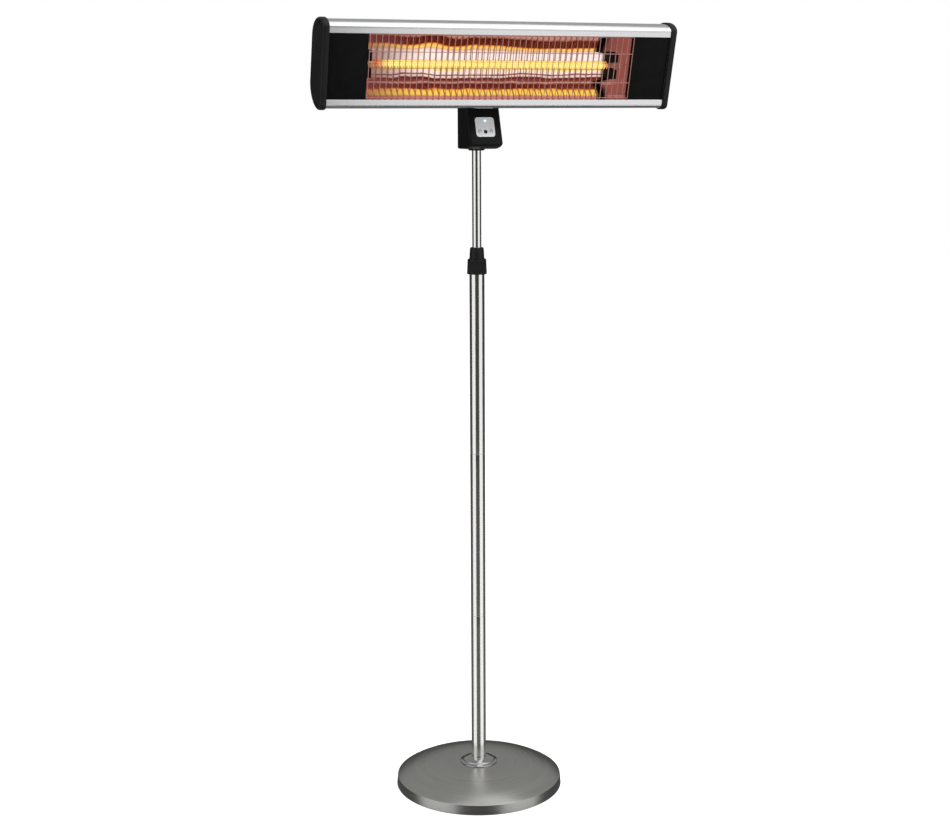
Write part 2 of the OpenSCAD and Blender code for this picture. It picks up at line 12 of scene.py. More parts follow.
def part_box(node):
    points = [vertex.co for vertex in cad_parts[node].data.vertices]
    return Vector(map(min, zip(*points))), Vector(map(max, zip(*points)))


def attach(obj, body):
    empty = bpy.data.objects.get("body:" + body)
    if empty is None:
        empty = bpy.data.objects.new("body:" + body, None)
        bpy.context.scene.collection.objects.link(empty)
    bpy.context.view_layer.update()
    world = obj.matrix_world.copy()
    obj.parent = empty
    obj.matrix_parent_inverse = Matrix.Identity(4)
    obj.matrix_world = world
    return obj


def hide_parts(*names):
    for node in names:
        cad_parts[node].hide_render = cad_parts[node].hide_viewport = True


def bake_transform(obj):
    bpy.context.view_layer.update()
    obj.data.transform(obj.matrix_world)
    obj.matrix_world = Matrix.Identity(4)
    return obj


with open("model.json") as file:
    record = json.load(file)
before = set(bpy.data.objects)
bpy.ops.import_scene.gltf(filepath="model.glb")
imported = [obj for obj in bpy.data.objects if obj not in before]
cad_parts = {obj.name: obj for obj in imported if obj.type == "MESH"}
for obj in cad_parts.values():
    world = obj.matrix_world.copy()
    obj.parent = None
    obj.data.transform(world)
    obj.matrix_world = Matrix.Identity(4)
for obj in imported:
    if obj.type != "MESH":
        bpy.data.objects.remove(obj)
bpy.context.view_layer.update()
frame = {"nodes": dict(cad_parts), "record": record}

bl_info = {
    "name": "Patio Heater",
    "version": (1, 0, 0),
    "blender": (4, 5, 0),
    "location": "3D View > Sidebar > Heater",
    "description": "Builds the pieces, finishes and stage of an electric patio heater",
    "category": "Object",
}

MM = 0.001
TAU = 2 * math.pi


# ---------------------------------------------------------------- settings

def length(name, description, default):
    """A length setting in metres."""
    return FloatProperty(name=name, description=description, default=default, unit="LENGTH")


class HeaterSizes(bpy.types.PropertyGroup):
    """Sizes that the frame's own boxes don't give."""

    head_tilt: FloatProperty(
        name="Head tilt", description="How far the head looks down at rest",
        default=math.radians(15), subtype="ANGLE")
    lamp_depth: length("Lamp depth", "From the head's front face back to the lamp's axis", 0.028)
    front_flat: length("Front flat", "Half the height of the head's flat front", 0.0748)
    half_height: length("Half height", "Half the height of the head's housing", 0.0848)
    brow_depth: length("Brow depth", "Depth of the rounded brow behind the front", 0.022)
    rear_flat: length("Rear flat", "Half the height of the housing's flat back", 0.0445)
    head_depth: length("Head depth", "Depth of the housing from front to back", 0.078)
    window_half: length("Window half height", "Half the height of the lamp window", 0.0636)
    sheet: length("Housing wall", "Wall thickness of the housing extrusion", 0.0018)
    cap_lip: length("Cap lip", "How far the end caps stand proud of the housing", 0.00295)
    cap_round: length("Cap rounding", "Radius of the end caps' outer edge", 0.004)
    guard_wire: length("Guard wire", "Radius of the guard's wires", 0.0008)
    guard_wires: IntProperty(
        name="Guard wires", description="Number of upright wires in the guard", default=46)
    coil_radius: length("Coil radius", "Radius of the lamp's wound coil", 0.0067)
    coil_pitch: length("Coil pitch", "Distance from one turn of the coil to the next", 0.0062)
    reflector_wave: length("Reflector wave", "Height of the slow ripple in the pressed reflector", 0.0006)
    face_lean: FloatProperty(
        name="Face lean", description="How far the control face leans back",
        default=math.atan(1 / 3), subtype="ANGLE")
    box_round: length("Box rounding", "Radius of the control box's side edges", 0.005)
    nut_ribs: IntProperty(
        name="Nut ribs", description="Number of grip ribs round the collar nut", default=28)


def colour(name, description, default):
    """A colour setting."""
    return FloatVectorProperty(
        name=name, description=description, default=default, subtype="COLOR", size=3, min=0, max=1)


class HeaterColours(bpy.types.PropertyGroup):
    """Colours of the heater's finishes."""

    stainless: colour("Stainless", "Brushed stainless of the base", (0.46, 0.46, 0.435))
    tube: colour("Tube", "Stainless of the pole", (0.95, 0.94, 0.92))
    aluminium: colour("Aluminium", "Satin aluminium of the housing", (0.74, 0.74, 0.75))
    plastic: colour("Plastic", "Black moulded plastic", (0.009, 0.009, 0.0095))
    box: colour("Box", "Dark brownish plastic of the control box", (0.005, 0.0038, 0.0036))
    panel: colour("Panel", "Fine-textured black panels", (0.004, 0.004, 0.004))
    plate: colour("Plate", "Silver control plate", (0.84, 0.85, 0.87))
    reflector: colour("Reflector", "Heat-tinted reflector", (0.34, 0.15, 0.12))
    glow: colour("Glow", "Hot coil", (1.0, 0.8, 0.17))
    indicator: colour("Indicator", "Lit indicator", (0.55, 0.8, 1.0))
    floor: colour("Floor", "Studio floor", (0.9, 0.9, 0.9))


def sizes():
    """The heater's sizes."""
    return bpy.context.scene.heater_sizes


def colours():
    """The heater's colours."""
    return bpy.context.scene.heater_colours


# ---------------------------------------------------------------- places

def middle(node):
    """Middle of a CAD node's box."""
    low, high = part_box(node)
    return (low + high) / 2


def head_frame():
    """Matrix from the head's own frame (y back from its front, z up its face) to the row frame."""
    turn = Matrix.Rotation(sizes().head_tilt, 4, "X")
    lamp = middle("lamp_tube")
    origin = Vector((0, lamp.y, lamp.z)) - turn @ Vector((0, sizes().lamp_depth, 0))
    return Matrix.Translation(origin) @ turn


def face_frame():
    """Matrix from the control face's frame (-y out of the face, z up it) to the row frame."""
    turn = Matrix.Rotation(-sizes().face_lean, 4, "X")
    return Matrix.Translation(middle("control_plate")) @ turn


def along(axis_point, direction):
    """Matrix that stands a lathed piece's Z axis along a direction at a point."""
    return Matrix.Translation(axis_point) @ Vector(direction).to_track_quat("Z", "Y").to_matrix().to_4x4()


# ---------------------------------------------------------------- mesh tools

def smooth(mesh, sharp):
    """Shades a mesh smooth, apart from edges sharper than an angle in degrees."""
    mesh.polygons.foreach_set("use_smooth", [True] * len(mesh.polygons))
    mesh.set_sharp_from_angle(angle=math.radians(sharp))


def shaded(name, bm, material, sharp):
    """Turns a bmesh into a smooth-shaded object in the scene."""
    bmesh.ops.remove_doubles(bm, verts=bm.verts, dist=1e-6)
    bmesh.ops.recalc_face_normals(bm, faces=bm.faces)
    mesh = bpy.data.meshes.new(name)
    bm.to_mesh(mesh)
    bm.free()
    smooth(mesh, sharp)
    mesh.materials.append(material)
    piece = bpy.data.objects.new(name, mesh)
    bpy.context.scene.collection.objects.link(piece)
    return piece


def finish_piece(name, bm, node, sharp, look=None, rides=True):
    """Makes the piece that stands for a CAD node, with the finish of the node's slot or of the given look,
    on its body.
    """
    piece = shaded(name, bm, finish(look or SLOT_OF[node]), sharp)
    if rides:
        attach(piece, BODY_OF[node])
    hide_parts(node)
    return piece


def turned(name, node, outline, steps, place=Matrix.Identity(4), ripple=None, sharp=50, look=None):
    """Makes a lathed piece that stands for a CAD node."""
    bm = bmesh.new()
    lathe(bm, outline, steps, place, ripple)
    return finish_piece(name, bm, node, sharp, look)


def loft(bm, rings, closed=True, caps=(True, True)):
    """Joins rings of points with faces; each ring is a closed loop unless told otherwise."""
    rows = [[bm.verts.new(p) for p in ring] for ring in rings]
    count = len(rows[0])
    for a, b in zip(rows, rows[1:]):
        for k in range(count if closed else count - 1):
            n = (k + 1) % count
            bm.faces.new((a[k], a[n], b[n], b[k]))
    if caps[0]:
        bm.faces.new(reversed(rows[0]))
    if caps[1]:
        bm.faces.new(rows[-1])


def lathe(bm, outline, steps=128, place=Matrix.Identity(4), ripple=None):
    """Turns an open or closed outline of (radius, height) about Z; ripple changes a radius by angle."""
    rows = []
    for k in range(steps):
        a = TAU * k / steps
        row = []
        for r, z in outline:
            reach = ripple(r, z, a) if ripple else r
            row.append(bm.verts.new(place @ Vector((reach * math.cos(a), reach * math.sin(a), z))))
        rows.append(row)
    for a, b in zip(rows, rows[1:] + rows[:1]):
        for j in range(len(outline) - 1):
            bm.faces.new((a[j], b[j], b[j + 1], a[j + 1]))


def rounded(points, radius, steps=4):
    """Rounds the corners of an open (r, z) outline; a point may carry its own radius as a third value."""
    out = [tuple(points[0][:2])]
    for before, here, after in zip(points, points[1:], points[2:]):
        own = here[2] if len(here) > 2 else radius
        p, a, b = Vector(here[:2]), Vector(before[:2]), Vector(after[:2])
        u, v = a - p, b - p
        reach = min(own, u.length * 0.45, v.length * 0.45)
        if reach < 1e-6:
            out.append(tuple(p))
            continue
        s, e = p + u.normalized() * reach, p + v.normalized() * reach
        for k in range(steps + 1):
            t = k / steps
            q = s * (1 - t) ** 2 + p * 2 * t * (1 - t) + e * t * t
            out.append(tuple(q))
    out.append(tuple(points[-1][:2]))
    return out


def tube_along(bm, path, radius, sides=10):
    """Sweeps a round section along a path of points."""
    rings = []
    normal = None
    for k, p in enumerate(path):
        step = path[min(k + 1, len(path) - 1)] - path[max(k - 1, 0)]
        t = step.normalized()
        if normal is None:
            normal = t.orthogonal().normalized()
        normal = (normal - t * normal.dot(t)).normalized()
        side = t.cross(normal)
        rings.append([p + (normal * math.cos(TAU * s / sides) + side * math.sin(TAU * s / sides)) * radius
                      for s in range(sides)])
    loft(bm, rings)


def block(bm, low, high, bevel=0.0005, place=Matrix.Identity(4), steps=2):
    """A box with softened edges."""
    made = bmesh.ops.create_cube(bm, size=1.0)["verts"]
    low, high = Vector(low), Vector(high)
    size, mid = high - low, (high + low) / 2
    for v in made:
        v.co = Vector((v.co.x * size.x, v.co.y * size.y, v.co.z * size.z)) + mid
    edges = list({e for v in made for e in v.link_edges})
    made_faces = {f for v in made for f in v.link_faces}
    if bevel:
        got = bmesh.ops.bevel(bm, geom=edges, offset=bevel, segments=steps, profile=0.5,
                              affect="EDGES", clamp_overlap=True)
        made_faces |= set(got["faces"])
    verts = {v for f in made_faces if f.is_valid for v in f.verts}
    for v in verts:
        v.co = place @ v.co


def refine(node, width):
    """Shows a CAD node's own shape with merged faces and softened edges."""
    bm = bmesh.new()
    bm.from_mesh(frame["nodes"][node].data)
    bmesh.ops.remove_doubles(bm, verts=bm.verts, dist=2e-6)
    bmesh.ops.dissolve_limit(bm, angle_limit=math.radians(0.6), verts=bm.verts, edges=bm.edges)
    sharp = [e for e in bm.edges if len(e.link_faces) == 2
             and e.calc_face_angle(0) > math.radians(35)]
    bmesh.ops.bevel(bm, geom=sharp, offset=width, segments=2, profile=0.6,
                    affect="EDGES", clamp_overlap=True)
    finish_piece(node + "_finished", bm, node, 38)


def arc(cy, cz, ry, rz, a0, a1, n):
    """Points on an elliptical arc, angles in degrees."""
    return [(cy + ry * math.cos(math.radians(a0 + (a1 - a0) * k / n)),
             cz + rz * math.sin(math.radians(a0 + (a1 - a0) * k / n))) for k in range(n + 1)]


def upper_outline(inset, groove=False):
    """Upper half of the head's outline, as (depth, height), from the front to the back's middle."""
    s = sizes()
    brow = arc(s.brow_depth, s.front_flat, s.brow_depth - inset,
               s.half_height - s.front_flat - inset, 180, 90, 14)
    rear = arc(s.brow_depth, s.rear_flat, s.head_depth - s.brow_depth - inset,
               s.half_height - s.rear_flat - inset, 90, 0, 24)
    notch = 0.7 * MM
    start = [(0, s.front_flat - 2 * notch), (notch, s.front_flat - 1.6 * notch),
             (notch, s.front_flat - 0.6 * notch)] if groove else []
    return start + brow + rear[1:]


def whole_outline(inset, groove=False):
    """The head's outline from the top of the front, over the back, to the bottom of the front."""
    top = upper_outline(inset, groove)
    return top + [(y, -z) for y, z in reversed(top)]


def box_outline(inset):
    """Side outline of the control box, as (depth, height)."""
    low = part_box("box_front_shell")[0].z
    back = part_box("box_rear_shell")[1].y
    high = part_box("box_rear_shell")[1].z
    lean = math.degrees(sizes().face_lean)
    foot = Vector((-63 * MM, low + 11.5 * MM))
    chin = [foot + Vector((inset, inset / 3)), foot + Vector((inset - 1.6 * MM, inset - 5 * MM)),
            Vector((-48 * MM, low + MM + inset)), Vector((-29 * MM, low + inset))]
    curve = []
    for k in range(13):
        t = k / 12
        curve.append(tuple(chin[0] * (1 - t) ** 3 + chin[1] * 3 * (1 - t) ** 2 * t
                           + chin[2] * 3 * (1 - t) * t * t + chin[3] * t ** 3))
    return (arc(back - 4 * MM, low + 4 * MM, 4 * MM - inset, 4 * MM - inset, -90, 0, 6)
            + arc(back - 6 * MM, high - 6 * MM, 6 * MM - inset, 6 * MM - inset, 0, 90, 8)
            + arc(-26.2 * MM, high - 8 * MM, 8 * MM - inset, 8 * MM - inset, 90, 180 - lean, 8)
            + curve)


def solidified(bm, thickness):
    """Gives an open shell its wall, inwards."""
    bmesh.ops.recalc_face_normals(bm, faces=bm.faces)
    bmesh.ops.solidify(bm, geom=bm.faces[:], thickness=thickness)


def cut_by(piece, cutters):
    """Cuts the shapes of other bmeshes out of a piece."""
    for tool_bm in cutters:
        mesh = bpy.data.meshes.new("cutter")
        bmesh.ops.recalc_face_normals(tool_bm, faces=tool_bm.faces)
        tool_bm.to_mesh(mesh)
        tool_bm.free()
        tool = bpy.data.objects.new("cutter", mesh)
        bpy.context.scene.collection.objects.link(tool)
        step = piece.modifiers.new("recess", "BOOLEAN")
        step.object = tool
        step.solver = "EXACT"
        graph = bpy.context.evaluated_depsgraph_get()
        made = bpy.data.meshes.new_from_object(piece.evaluated_get(graph), depsgraph=graph)
        piece.modifiers.clear()
        old = piece.data
        piece.data = made
        made.name = old.name
        bpy.data.meshes.remove(old)
        bpy.data.objects.remove(tool)
        bpy.data.meshes.remove(mesh)
    smooth(piece.data, 35)


def circle(radius, steps):
    """Points round a flat circle."""
    return [Vector((radius * math.cos(TAU * k / steps), radius * math.sin(TAU * k / steps), 0))
            for k in range(steps)]


def plug(radius, depth, place):
    """A round cutter along Z of the given place."""
    bm = bmesh.new()
    ring = circle(radius, 40)
    loft(bm, [[place @ p for p in ring], [place @ (p + Vector((0, 0, depth))) for p in ring]])
    return bm


# ---------------------------------------------------------------- shared effects

def shared_effect(name, inputs, outputs):
    """Has a function fill a shader node group, which is made once and then shared."""
    def wrap(fill):
        def group():
            if name in bpy.data.node_groups:
                return bpy.data.node_groups[name]
            tree = bpy.data.node_groups.new(name, "ShaderNodeTree")
            tree.interface.new_socket(name="Vector", in_out="INPUT", socket_type="NodeSocketVector")
            for label, value in inputs.items():
                made = tree.interface.new_socket(name=label, in_out="INPUT", socket_type="NodeSocketFloat")
                made.default_value = value
            for label in outputs:
                tree.interface.new_socket(name=label, in_out="OUTPUT", socket_type="NodeSocketFloat")
            start, end = tree.nodes.new("NodeGroupInput"), tree.nodes.new("NodeGroupOutput")
            for label, value in zip(outputs, fill(tree, *start.outputs[:len(inputs) + 1])):
                tree.links.new(value, end.inputs[label])
            return tree
        return group
    return wrap


def math_node(tree, operation, a, b=None, c=None, clamp=False):
    """A maths node; a, b and c are sockets or numbers."""
    node = tree.nodes.new("ShaderNodeMath")
    node.operation = operation
    node.use_clamp = clamp
    for socket, value in zip(node.inputs, (a, b, c)):
        if isinstance(value, bpy.types.NodeSocket):
            tree.links.new(value, socket)
        elif value is not None:
            socket.default_value = value
    return node.outputs[0]


def noise(tree, vector, scale, detail=3.0, rough=0.55):
    """A noise texture's value."""
    node = tree.nodes.new("ShaderNodeTexNoise")
    node.inputs["Detail"].default_value = detail
    node.inputs["Roughness"].default_value = rough
    tree.links.new(vector, node.inputs["Vector"])
    if isinstance(scale, bpy.types.NodeSocket):
        tree.links.new(scale, node.inputs["Scale"])
    else:
        node.inputs["Scale"].default_value = scale
    return node.outputs["Fac"]


def stretched(tree, vector, x, y, z):
    """A vector scaled on each axis."""
    join = tree.nodes.new("ShaderNodeCombineXYZ")
    for k, value in enumerate((x, y, z)):
        if isinstance(value, bpy.types.NodeSocket):
            tree.links.new(value, join.inputs[k])
        else:
            join.inputs[k].default_value = value
    scale = tree.nodes.new("ShaderNodeVectorMath")
    scale.operation = "MULTIPLY"
    tree.links.new(vector, scale.inputs[0])
    tree.links.new(join.outputs[0], scale.inputs[1])
    return scale.outputs[0]


@shared_effect("Brushed Lines", {"Scale X": 1000.0, "Scale Y": 1000.0, "Scale Z": 20.0}, ("Tone", "Height"))
def brushed_group(tree, place, x, y, z):
    """Fine parallel lines: noise drawn out along one axis."""
    drawn_out = stretched(tree, place, x, y, z)
    fine = noise(tree, drawn_out, 1.0, 2.0)
    broad = noise(tree, drawn_out, 0.22, 3.0)
    tone = math_node(tree, "MULTIPLY_ADD", fine, 0.6, math_node(tree, "MULTIPLY", broad, 0.4))
    return tone, fine


@shared_effect("Spun Lines", {"Lines": 900.0}, ("Tone", "Height"))
def spun_group(tree, place, lines):
    """Fine rings about the pole's axis, as left by spinning and polishing a round cover."""
    split = tree.nodes.new("ShaderNodeSeparateXYZ")
    tree.links.new(place, split.inputs[0])
    x, y, z = split.outputs
    radius = math_node(tree, "SQRT", math_node(
        tree, "ADD", math_node(tree, "MULTIPLY", x, x), math_node(tree, "MULTIPLY", y, y)))
    turn = math_node(tree, "ABSOLUTE", math_node(tree, "ARCTAN2", y, x))
    join = tree.nodes.new("ShaderNodeCombineXYZ")
    for socket, value, scale in zip(join.inputs, (radius, turn, z), (lines, 2.5, lines)):
        tree.links.new(math_node(tree, "MULTIPLY", value, scale), socket)
    fine = noise(tree, join.outputs[0], 1.0, 2.0)
    broad = noise(tree, join.outputs[0], 0.12, 2.0)
    tone = math_node(tree, "MULTIPLY_ADD", fine, 0.55, math_node(tree, "MULTIPLY", broad, 0.45))
    return tone, fine


@shared_effect("Fine Grain", {"Scale": 1500.0}, ("Tone", "Height"))
def grain_group(tree, place, scale):
    """Even fine grain of moulded plastic, cast metal or powder coat."""
    slow = noise(tree, place, math_node(tree, "MULTIPLY", scale, 0.02), 3.0)
    return slow, noise(tree, place, scale, 2.0)


@shared_effect("Settled Dust", {"Amount": 0.1}, ("Mask",))
def dust_group(tree, place, amount):
    """Thin dust that settles on faces that look up."""
    facing = tree.nodes.new("ShaderNodeNewGeometry")
    split = tree.nodes.new("ShaderNodeSeparateXYZ")
    tree.links.new(facing.outputs["Normal"], split.inputs[0])
    up = math_node(tree, "MAXIMUM", split.outputs[2], 0.0)
    cloud = math_node(tree, "MULTIPLY_ADD", noise(tree, place, 35.0, 5.0), 1.6, -0.45, True)
    return (math_node(tree, "MULTIPLY", math_node(tree, "MULTIPLY", up, cloud), amount, clamp=True),)


@shared_effect("Handling Marks", {"Scale": 60.0, "Amount": 0.3}, ("Mask",))
def scuff_group(tree, place, scale, amount):
    """Sparse small marks from handling."""
    ragged = noise(tree, stretched(tree, place, 1.0, 0.35, 1.4), scale, 8.0, 0.7)
    edge = tree.nodes.new("ShaderNodeMapRange")
    edge.inputs["From Min"].default_value = 0.6
    edge.inputs["From Max"].default_value = 0.72
    tree.links.new(ragged, edge.inputs["Value"])
    return (math_node(tree, "MULTIPLY", edge.outputs[0], amount, clamp=True),)


# ---------------------------------------------------------------- finishes

class Finish:
    """A material under construction: its tree, its shader and its object coordinates."""

    def __init__(self, name):
        self.material = bpy.data.materials.new(name)
        self.material.use_nodes = True
        self.tree = self.material.node_tree
        self.shader = self.tree.nodes["Principled BSDF"]
        self.place = self.tree.nodes.new("ShaderNodeTexCoord").outputs["Object"]

    def effect(self, tree, **values):
        """Places a shared effect and returns its node."""
        node = self.tree.nodes.new("ShaderNodeGroup")
        node.node_tree = tree
        self.tree.links.new(self.place, node.inputs["Vector"])
        for label, value in values.items():
            node.inputs[label.replace("_", " ")].default_value = value
        return node

    def mix(self, mask, first, second):
        """A colour mixed by a mask; first and second are colours or sockets."""
        node = self.tree.nodes.new("ShaderNodeMix")
        node.data_type = "RGBA"
        self.tree.links.new(mask, node.inputs["Factor"])
        for socket, value in ((node.inputs[6], first), (node.inputs[7], second)):
            if isinstance(value, bpy.types.NodeSocket):
                self.tree.links.new(value, socket)
            else:
                socket.default_value = (*value, 1.0)
        return node.outputs[2]

    def ranged(self, value, low, high, from_low=0.3, from_high=0.7):
        """A value carried to a range."""
        node = self.tree.nodes.new("ShaderNodeMapRange")
        self.tree.links.new(value, node.inputs["Value"])
        node.inputs["From Min"].default_value = from_low
        node.inputs["From Max"].default_value = from_high
        node.inputs["To Min"].default_value = low
        node.inputs["To Max"].default_value = high
        return node.outputs["Result"]

    def set(self, socket, value):
        """Sets or links one of the shader's sockets."""
        target = self.shader.inputs[socket]
        if isinstance(value, bpy.types.NodeSocket):
            self.tree.links.new(value, target)
        elif isinstance(value, tuple) and len(value) == 3:
            target.default_value = (*value, 1.0)
        else:
            target.default_value = value

    def bump(self, height, strength, distance):
        """Raises fine relief from a height."""
        node = self.tree.nodes.new("ShaderNodeBump")
        node.inputs["Strength"].default_value = strength
        node.inputs["Distance"].default_value = distance
        self.tree.links.new(height, node.inputs["Height"])
        self.tree.links.new(node.outputs["Normal"], self.shader.inputs["Normal"])


def darker(rgb, share):
    """A colour times a share."""
    return tuple(min(1.0, c * share) for c in rgb)


def metal(name, rgb, effect, rough, relief, spread=0.12, dust=0.0, metallic=1.0, **values):
    """Bare or plated metal with lines or grain from a shared effect."""
    f = Finish(name)
    lines = f.effect(effect, **values)
    tone = f.mix(f.ranged(lines.outputs["Tone"], 0, 1), darker(rgb, 1 - spread), darker(rgb, 1 + spread))
    marks = f.effect(scuff_group(), Amount=0.25)
    tone = f.mix(marks.outputs["Mask"], tone, darker(rgb, 0.8))
    if dust:
        film = f.effect(dust_group(), Amount=dust)
        tone = f.mix(film.outputs["Mask"], tone, (0.45, 0.43, 0.4))
    f.set("Base Color", tone)
    f.set("Metallic", metallic)
    f.set("Roughness", f.ranged(lines.outputs["Tone"], rough[0], rough[1]))
    f.bump(lines.outputs["Height"], relief[0], relief[1])
    return f


def coated(name, rgb, scale, rough, relief, dust=0.06, spread=0.25, coat=0.0, gloss=0.5):
    """Moulded or coated surface with an even fine grain."""
    f = Finish(name)
    f.set("Specular IOR Level", gloss)
    grain = f.effect(grain_group(), Scale=scale)
    tone = f.mix(f.ranged(grain.outputs["Tone"], 0, 1), darker(rgb, 1 - spread), darker(rgb, 1 + spread))
    marks = f.effect(scuff_group(), Amount=0.5)
    tone = f.mix(marks.outputs["Mask"], tone, darker(rgb, 1.6))
    if dust:
        film = f.effect(dust_group(), Amount=dust)
        tone = f.mix(film.outputs["Mask"], tone, (0.3, 0.29, 0.27))
    f.set("Base Color", tone)
    f.set("Roughness", f.ranged(grain.outputs["Height"], rough[0], rough[1]))
    f.set("Coat Weight", coat)
    f.bump(grain.outputs["Height"], relief[0], relief[1])
    return f


def brushed_stainless():
    """Spun and brushed sheet of the base."""
    return metal("Spun stainless", tuple(colours().stainless), spun_group(), (0.26, 0.36), (0.12, 0.0003),
                 spread=0.09, dust=0.05, Lines=900.0).material


def tube_stainless():
    """Drawn stainless tube, fine lines along its length."""
    return metal("Drawn stainless", tuple(colours().tube), brushed_group(), (0.12, 0.18), (0.05, 0.0002),
                 spread=0.05, Scale_X=1400.0, Scale_Y=1400.0, Scale_Z=6.0).material


def bright_flange():
    """Polished flange cover."""
    return metal("Polished flange", (0.45, 0.45, 0.45), spun_group(), (0.1, 0.16), (0.04, 0.0002),
                 spread=0.05, Lines=600.0).material


def anodised_aluminium():
    """Satin anodised extrusion, fine lines along the head."""
    return metal("Anodised aluminium", tuple(colours().aluminium), brushed_group(), (0.2, 0.26),
                 (0.05, 0.0002), spread=0.03, Scale_X=5.0, Scale_Y=1500.0, Scale_Z=1500.0).material


def silver_plate():
    """Satin control plate, with a faint grey glow and the indicator's blue halo painted on as emission."""
    f = metal("Satin plate", tuple(colours().plate), brushed_group(), (0.34, 0.42), (0.05, 0.0001),
              spread=0.05, metallic=0.3, Scale_X=12.0, Scale_Y=1500.0, Scale_Z=1800.0)
    reach = f.tree.nodes.new("ShaderNodeVectorMath")
    reach.operation = "DISTANCE"
    f.tree.links.new(f.place, reach.inputs[0])
    reach.inputs[1].default_value = middle("led_lens")
    away = reach.outputs["Value"]
    tone = f.shader.inputs["Base Color"].links[0].from_socket
    f.set("Base Color", f.mix(f.ranged(away, 0.85, 0, 3.1 * MM, 3.9 * MM), tone, (0.03, 0.04, 0.06)))
    # Painted light: the plate emits a faint grey glow that turns into a painted blue halo of the indicator's
    # light near the lens. Over the ring round the lens the emission is black.
    painted_led_halo = f.mix(f.ranged(away, 0.8, 0, 4 * MM, 9 * MM), (0.55, 0.55, 0.56), tuple(colours().indicator))
    f.set("Emission Color", f.mix(f.ranged(away, 1, 0, 3.3 * MM, 4.2 * MM), painted_led_halo, (0, 0, 0)))
    f.set("Emission Strength", 0.24)
    return f.material


def guard_wire():
    """Bright drawn wire, a little heat-stained, with a pink glow of the lamp's light painted on as emission.
    """
    f = metal("Guard wire", (0.4, 0.3, 0.28), grain_group(), (0.22, 0.34), (0.05, 0.0001),
              spread=0.12, Scale=900.0)
    # Painted light: a pink emission paints the lamp's light on the wires.
    f.set("Emission Color", display(112, 62, 58))
    f.set("Emission Strength", 0.75)
    return f.material


def zinc_steel():
    """Zinc-plated hardware."""
    return metal("Zinc plate", (0.6, 0.6, 0.62), grain_group(), (0.28, 0.4), (0.08, 0.0001),
                 spread=0.1, Scale=600.0).material


def cast_iron():
    """Rough cast weight."""
    return metal("Cast iron", (0.16, 0.16, 0.17), grain_group(), (0.55, 0.8), (0.6, 0.0006),
                 spread=0.25, Scale=350.0).material


def black_plastic():
    """Satin black moulding."""
    return coated("Black moulding", tuple(colours().plastic), 1600.0, (0.4, 0.54), (0.12, 0.0002),
                  dust=0.01, gloss=0.25).material


def box_plastic():
    """Dark, slightly brown moulded plastic of the control box."""
    return coated("Box plastic", tuple(colours().box), 1300.0, (0.4, 0.5), (0.3, 0.0002),
                  dust=0.0, gloss=0.2).material


def black_panel():
    """Fine-textured black coat."""
    return coated("Black panel", tuple(colours().panel), 2200.0, (0.5, 0.66), (0.3, 0.0003),
                  dust=0.0, gloss=0.12).material


def black_steel():
    """Powder-coated black steel."""
    return coated("Black powder coat", (0.02, 0.02, 0.02), 1100.0, (0.42, 0.58), (0.35, 0.0003)).material


def bottom_plate():
    """Coated underside plate."""
    return coated("Underside coat", (0.03, 0.03, 0.03), 800.0, (0.5, 0.65), (0.3, 0.0003)).material


def blackened_screws():
    """Blackened screw heads."""
    return coated("Blackened steel", (0.03, 0.03, 0.032), 900.0, (0.3, 0.42), (0.1, 0.0001)).material


def rubber():
    """Matt moulded rubber."""
    return coated("Foot rubber", (0.018, 0.018, 0.018), 1200.0, (0.7, 0.85), (0.3, 0.0003)).material


def gasket_rubber():
    """Silicone gasket."""
    return coated("Gasket silicone", (0.02, 0.02, 0.02), 1400.0, (0.5, 0.62), (0.1, 0.0002)).material


def black_lead():
    """Smooth sheath of the short lead."""
    return coated("Lead sheath", (0.012, 0.012, 0.012), 1500.0, (0.4, 0.52), (0.1, 0.0002)).material


def natural_nylon():
    """Natural nylon bushes and blocks."""
    return coated("Natural nylon", (0.75, 0.72, 0.64), 1000.0, (0.4, 0.5), (0.1, 0.0002)).material


def black_button():
    """Semi-gloss button."""
    return coated("Button gloss", (0.008, 0.008, 0.009), 1800.0, (0.16, 0.24), (0.04, 0.0001),
                  dust=0.0, coat=0.4).material


def switch_parts():
    """Moulded switch and relay cases."""
    return coated("Switch cases", (0.1, 0.12, 0.16), 1200.0, (0.3, 0.42), (0.1, 0.0001)).material


def circuit_green():
    """Solder mask over faint tracks."""
    return coated("Solder mask", (0.02, 0.14, 0.05), 500.0, (0.2, 0.32), (0.2, 0.0002)).material


def lamp_ceramic():
    """Heat-darkened ceramic."""
    return coated("Dark ceramic", (0.005, 0.004, 0.004), 900.0, (0.55, 0.75), (0.3, 0.0003),
                  dust=0.0, gloss=0.1).material


def lead_sleeve():
    """Woven glass sleeve with a crossed weave."""
    f = Finish("Glass sleeve")
    waves = f.tree.nodes.new("ShaderNodeTexWave")
    waves.inputs["Scale"].default_value = 420.0
    waves.inputs["Distortion"].default_value = 1.5
    f.tree.links.new(f.place, waves.inputs["Vector"])
    f.set("Base Color", f.mix(waves.outputs["Fac"], (0.5, 0.33, 0.26), (0.78, 0.6, 0.5)))
    f.set("Roughness", 0.8)
    f.bump(waves.outputs["Fac"], 0.3, 0.0003)
    return f.material


def lit_lens():
    """Indicator lens lit from behind, its tone varying with a fine grain."""
    f = Finish("Lit lens")
    grain = f.effect(grain_group(), Scale=700.0)
    glow = f.mix(f.ranged(grain.outputs["Height"], 0, 1), darker(tuple(colours().indicator), 0.8),
                 (0.9, 0.97, 1.0))
    f.set("Base Color", glow)
    f.set("Emission Color", glow)
    f.set("Emission Strength", 1.1)
    f.set("Roughness", 0.12)
    return f.material


def display(red, green, blue):
    """A scene colour from display values of 0 to 255."""
    return tuple((c / 255 / 12.92) if c < 11 else ((c / 255 + 0.055) / 1.055) ** 2.4
                 for c in (red, green, blue))


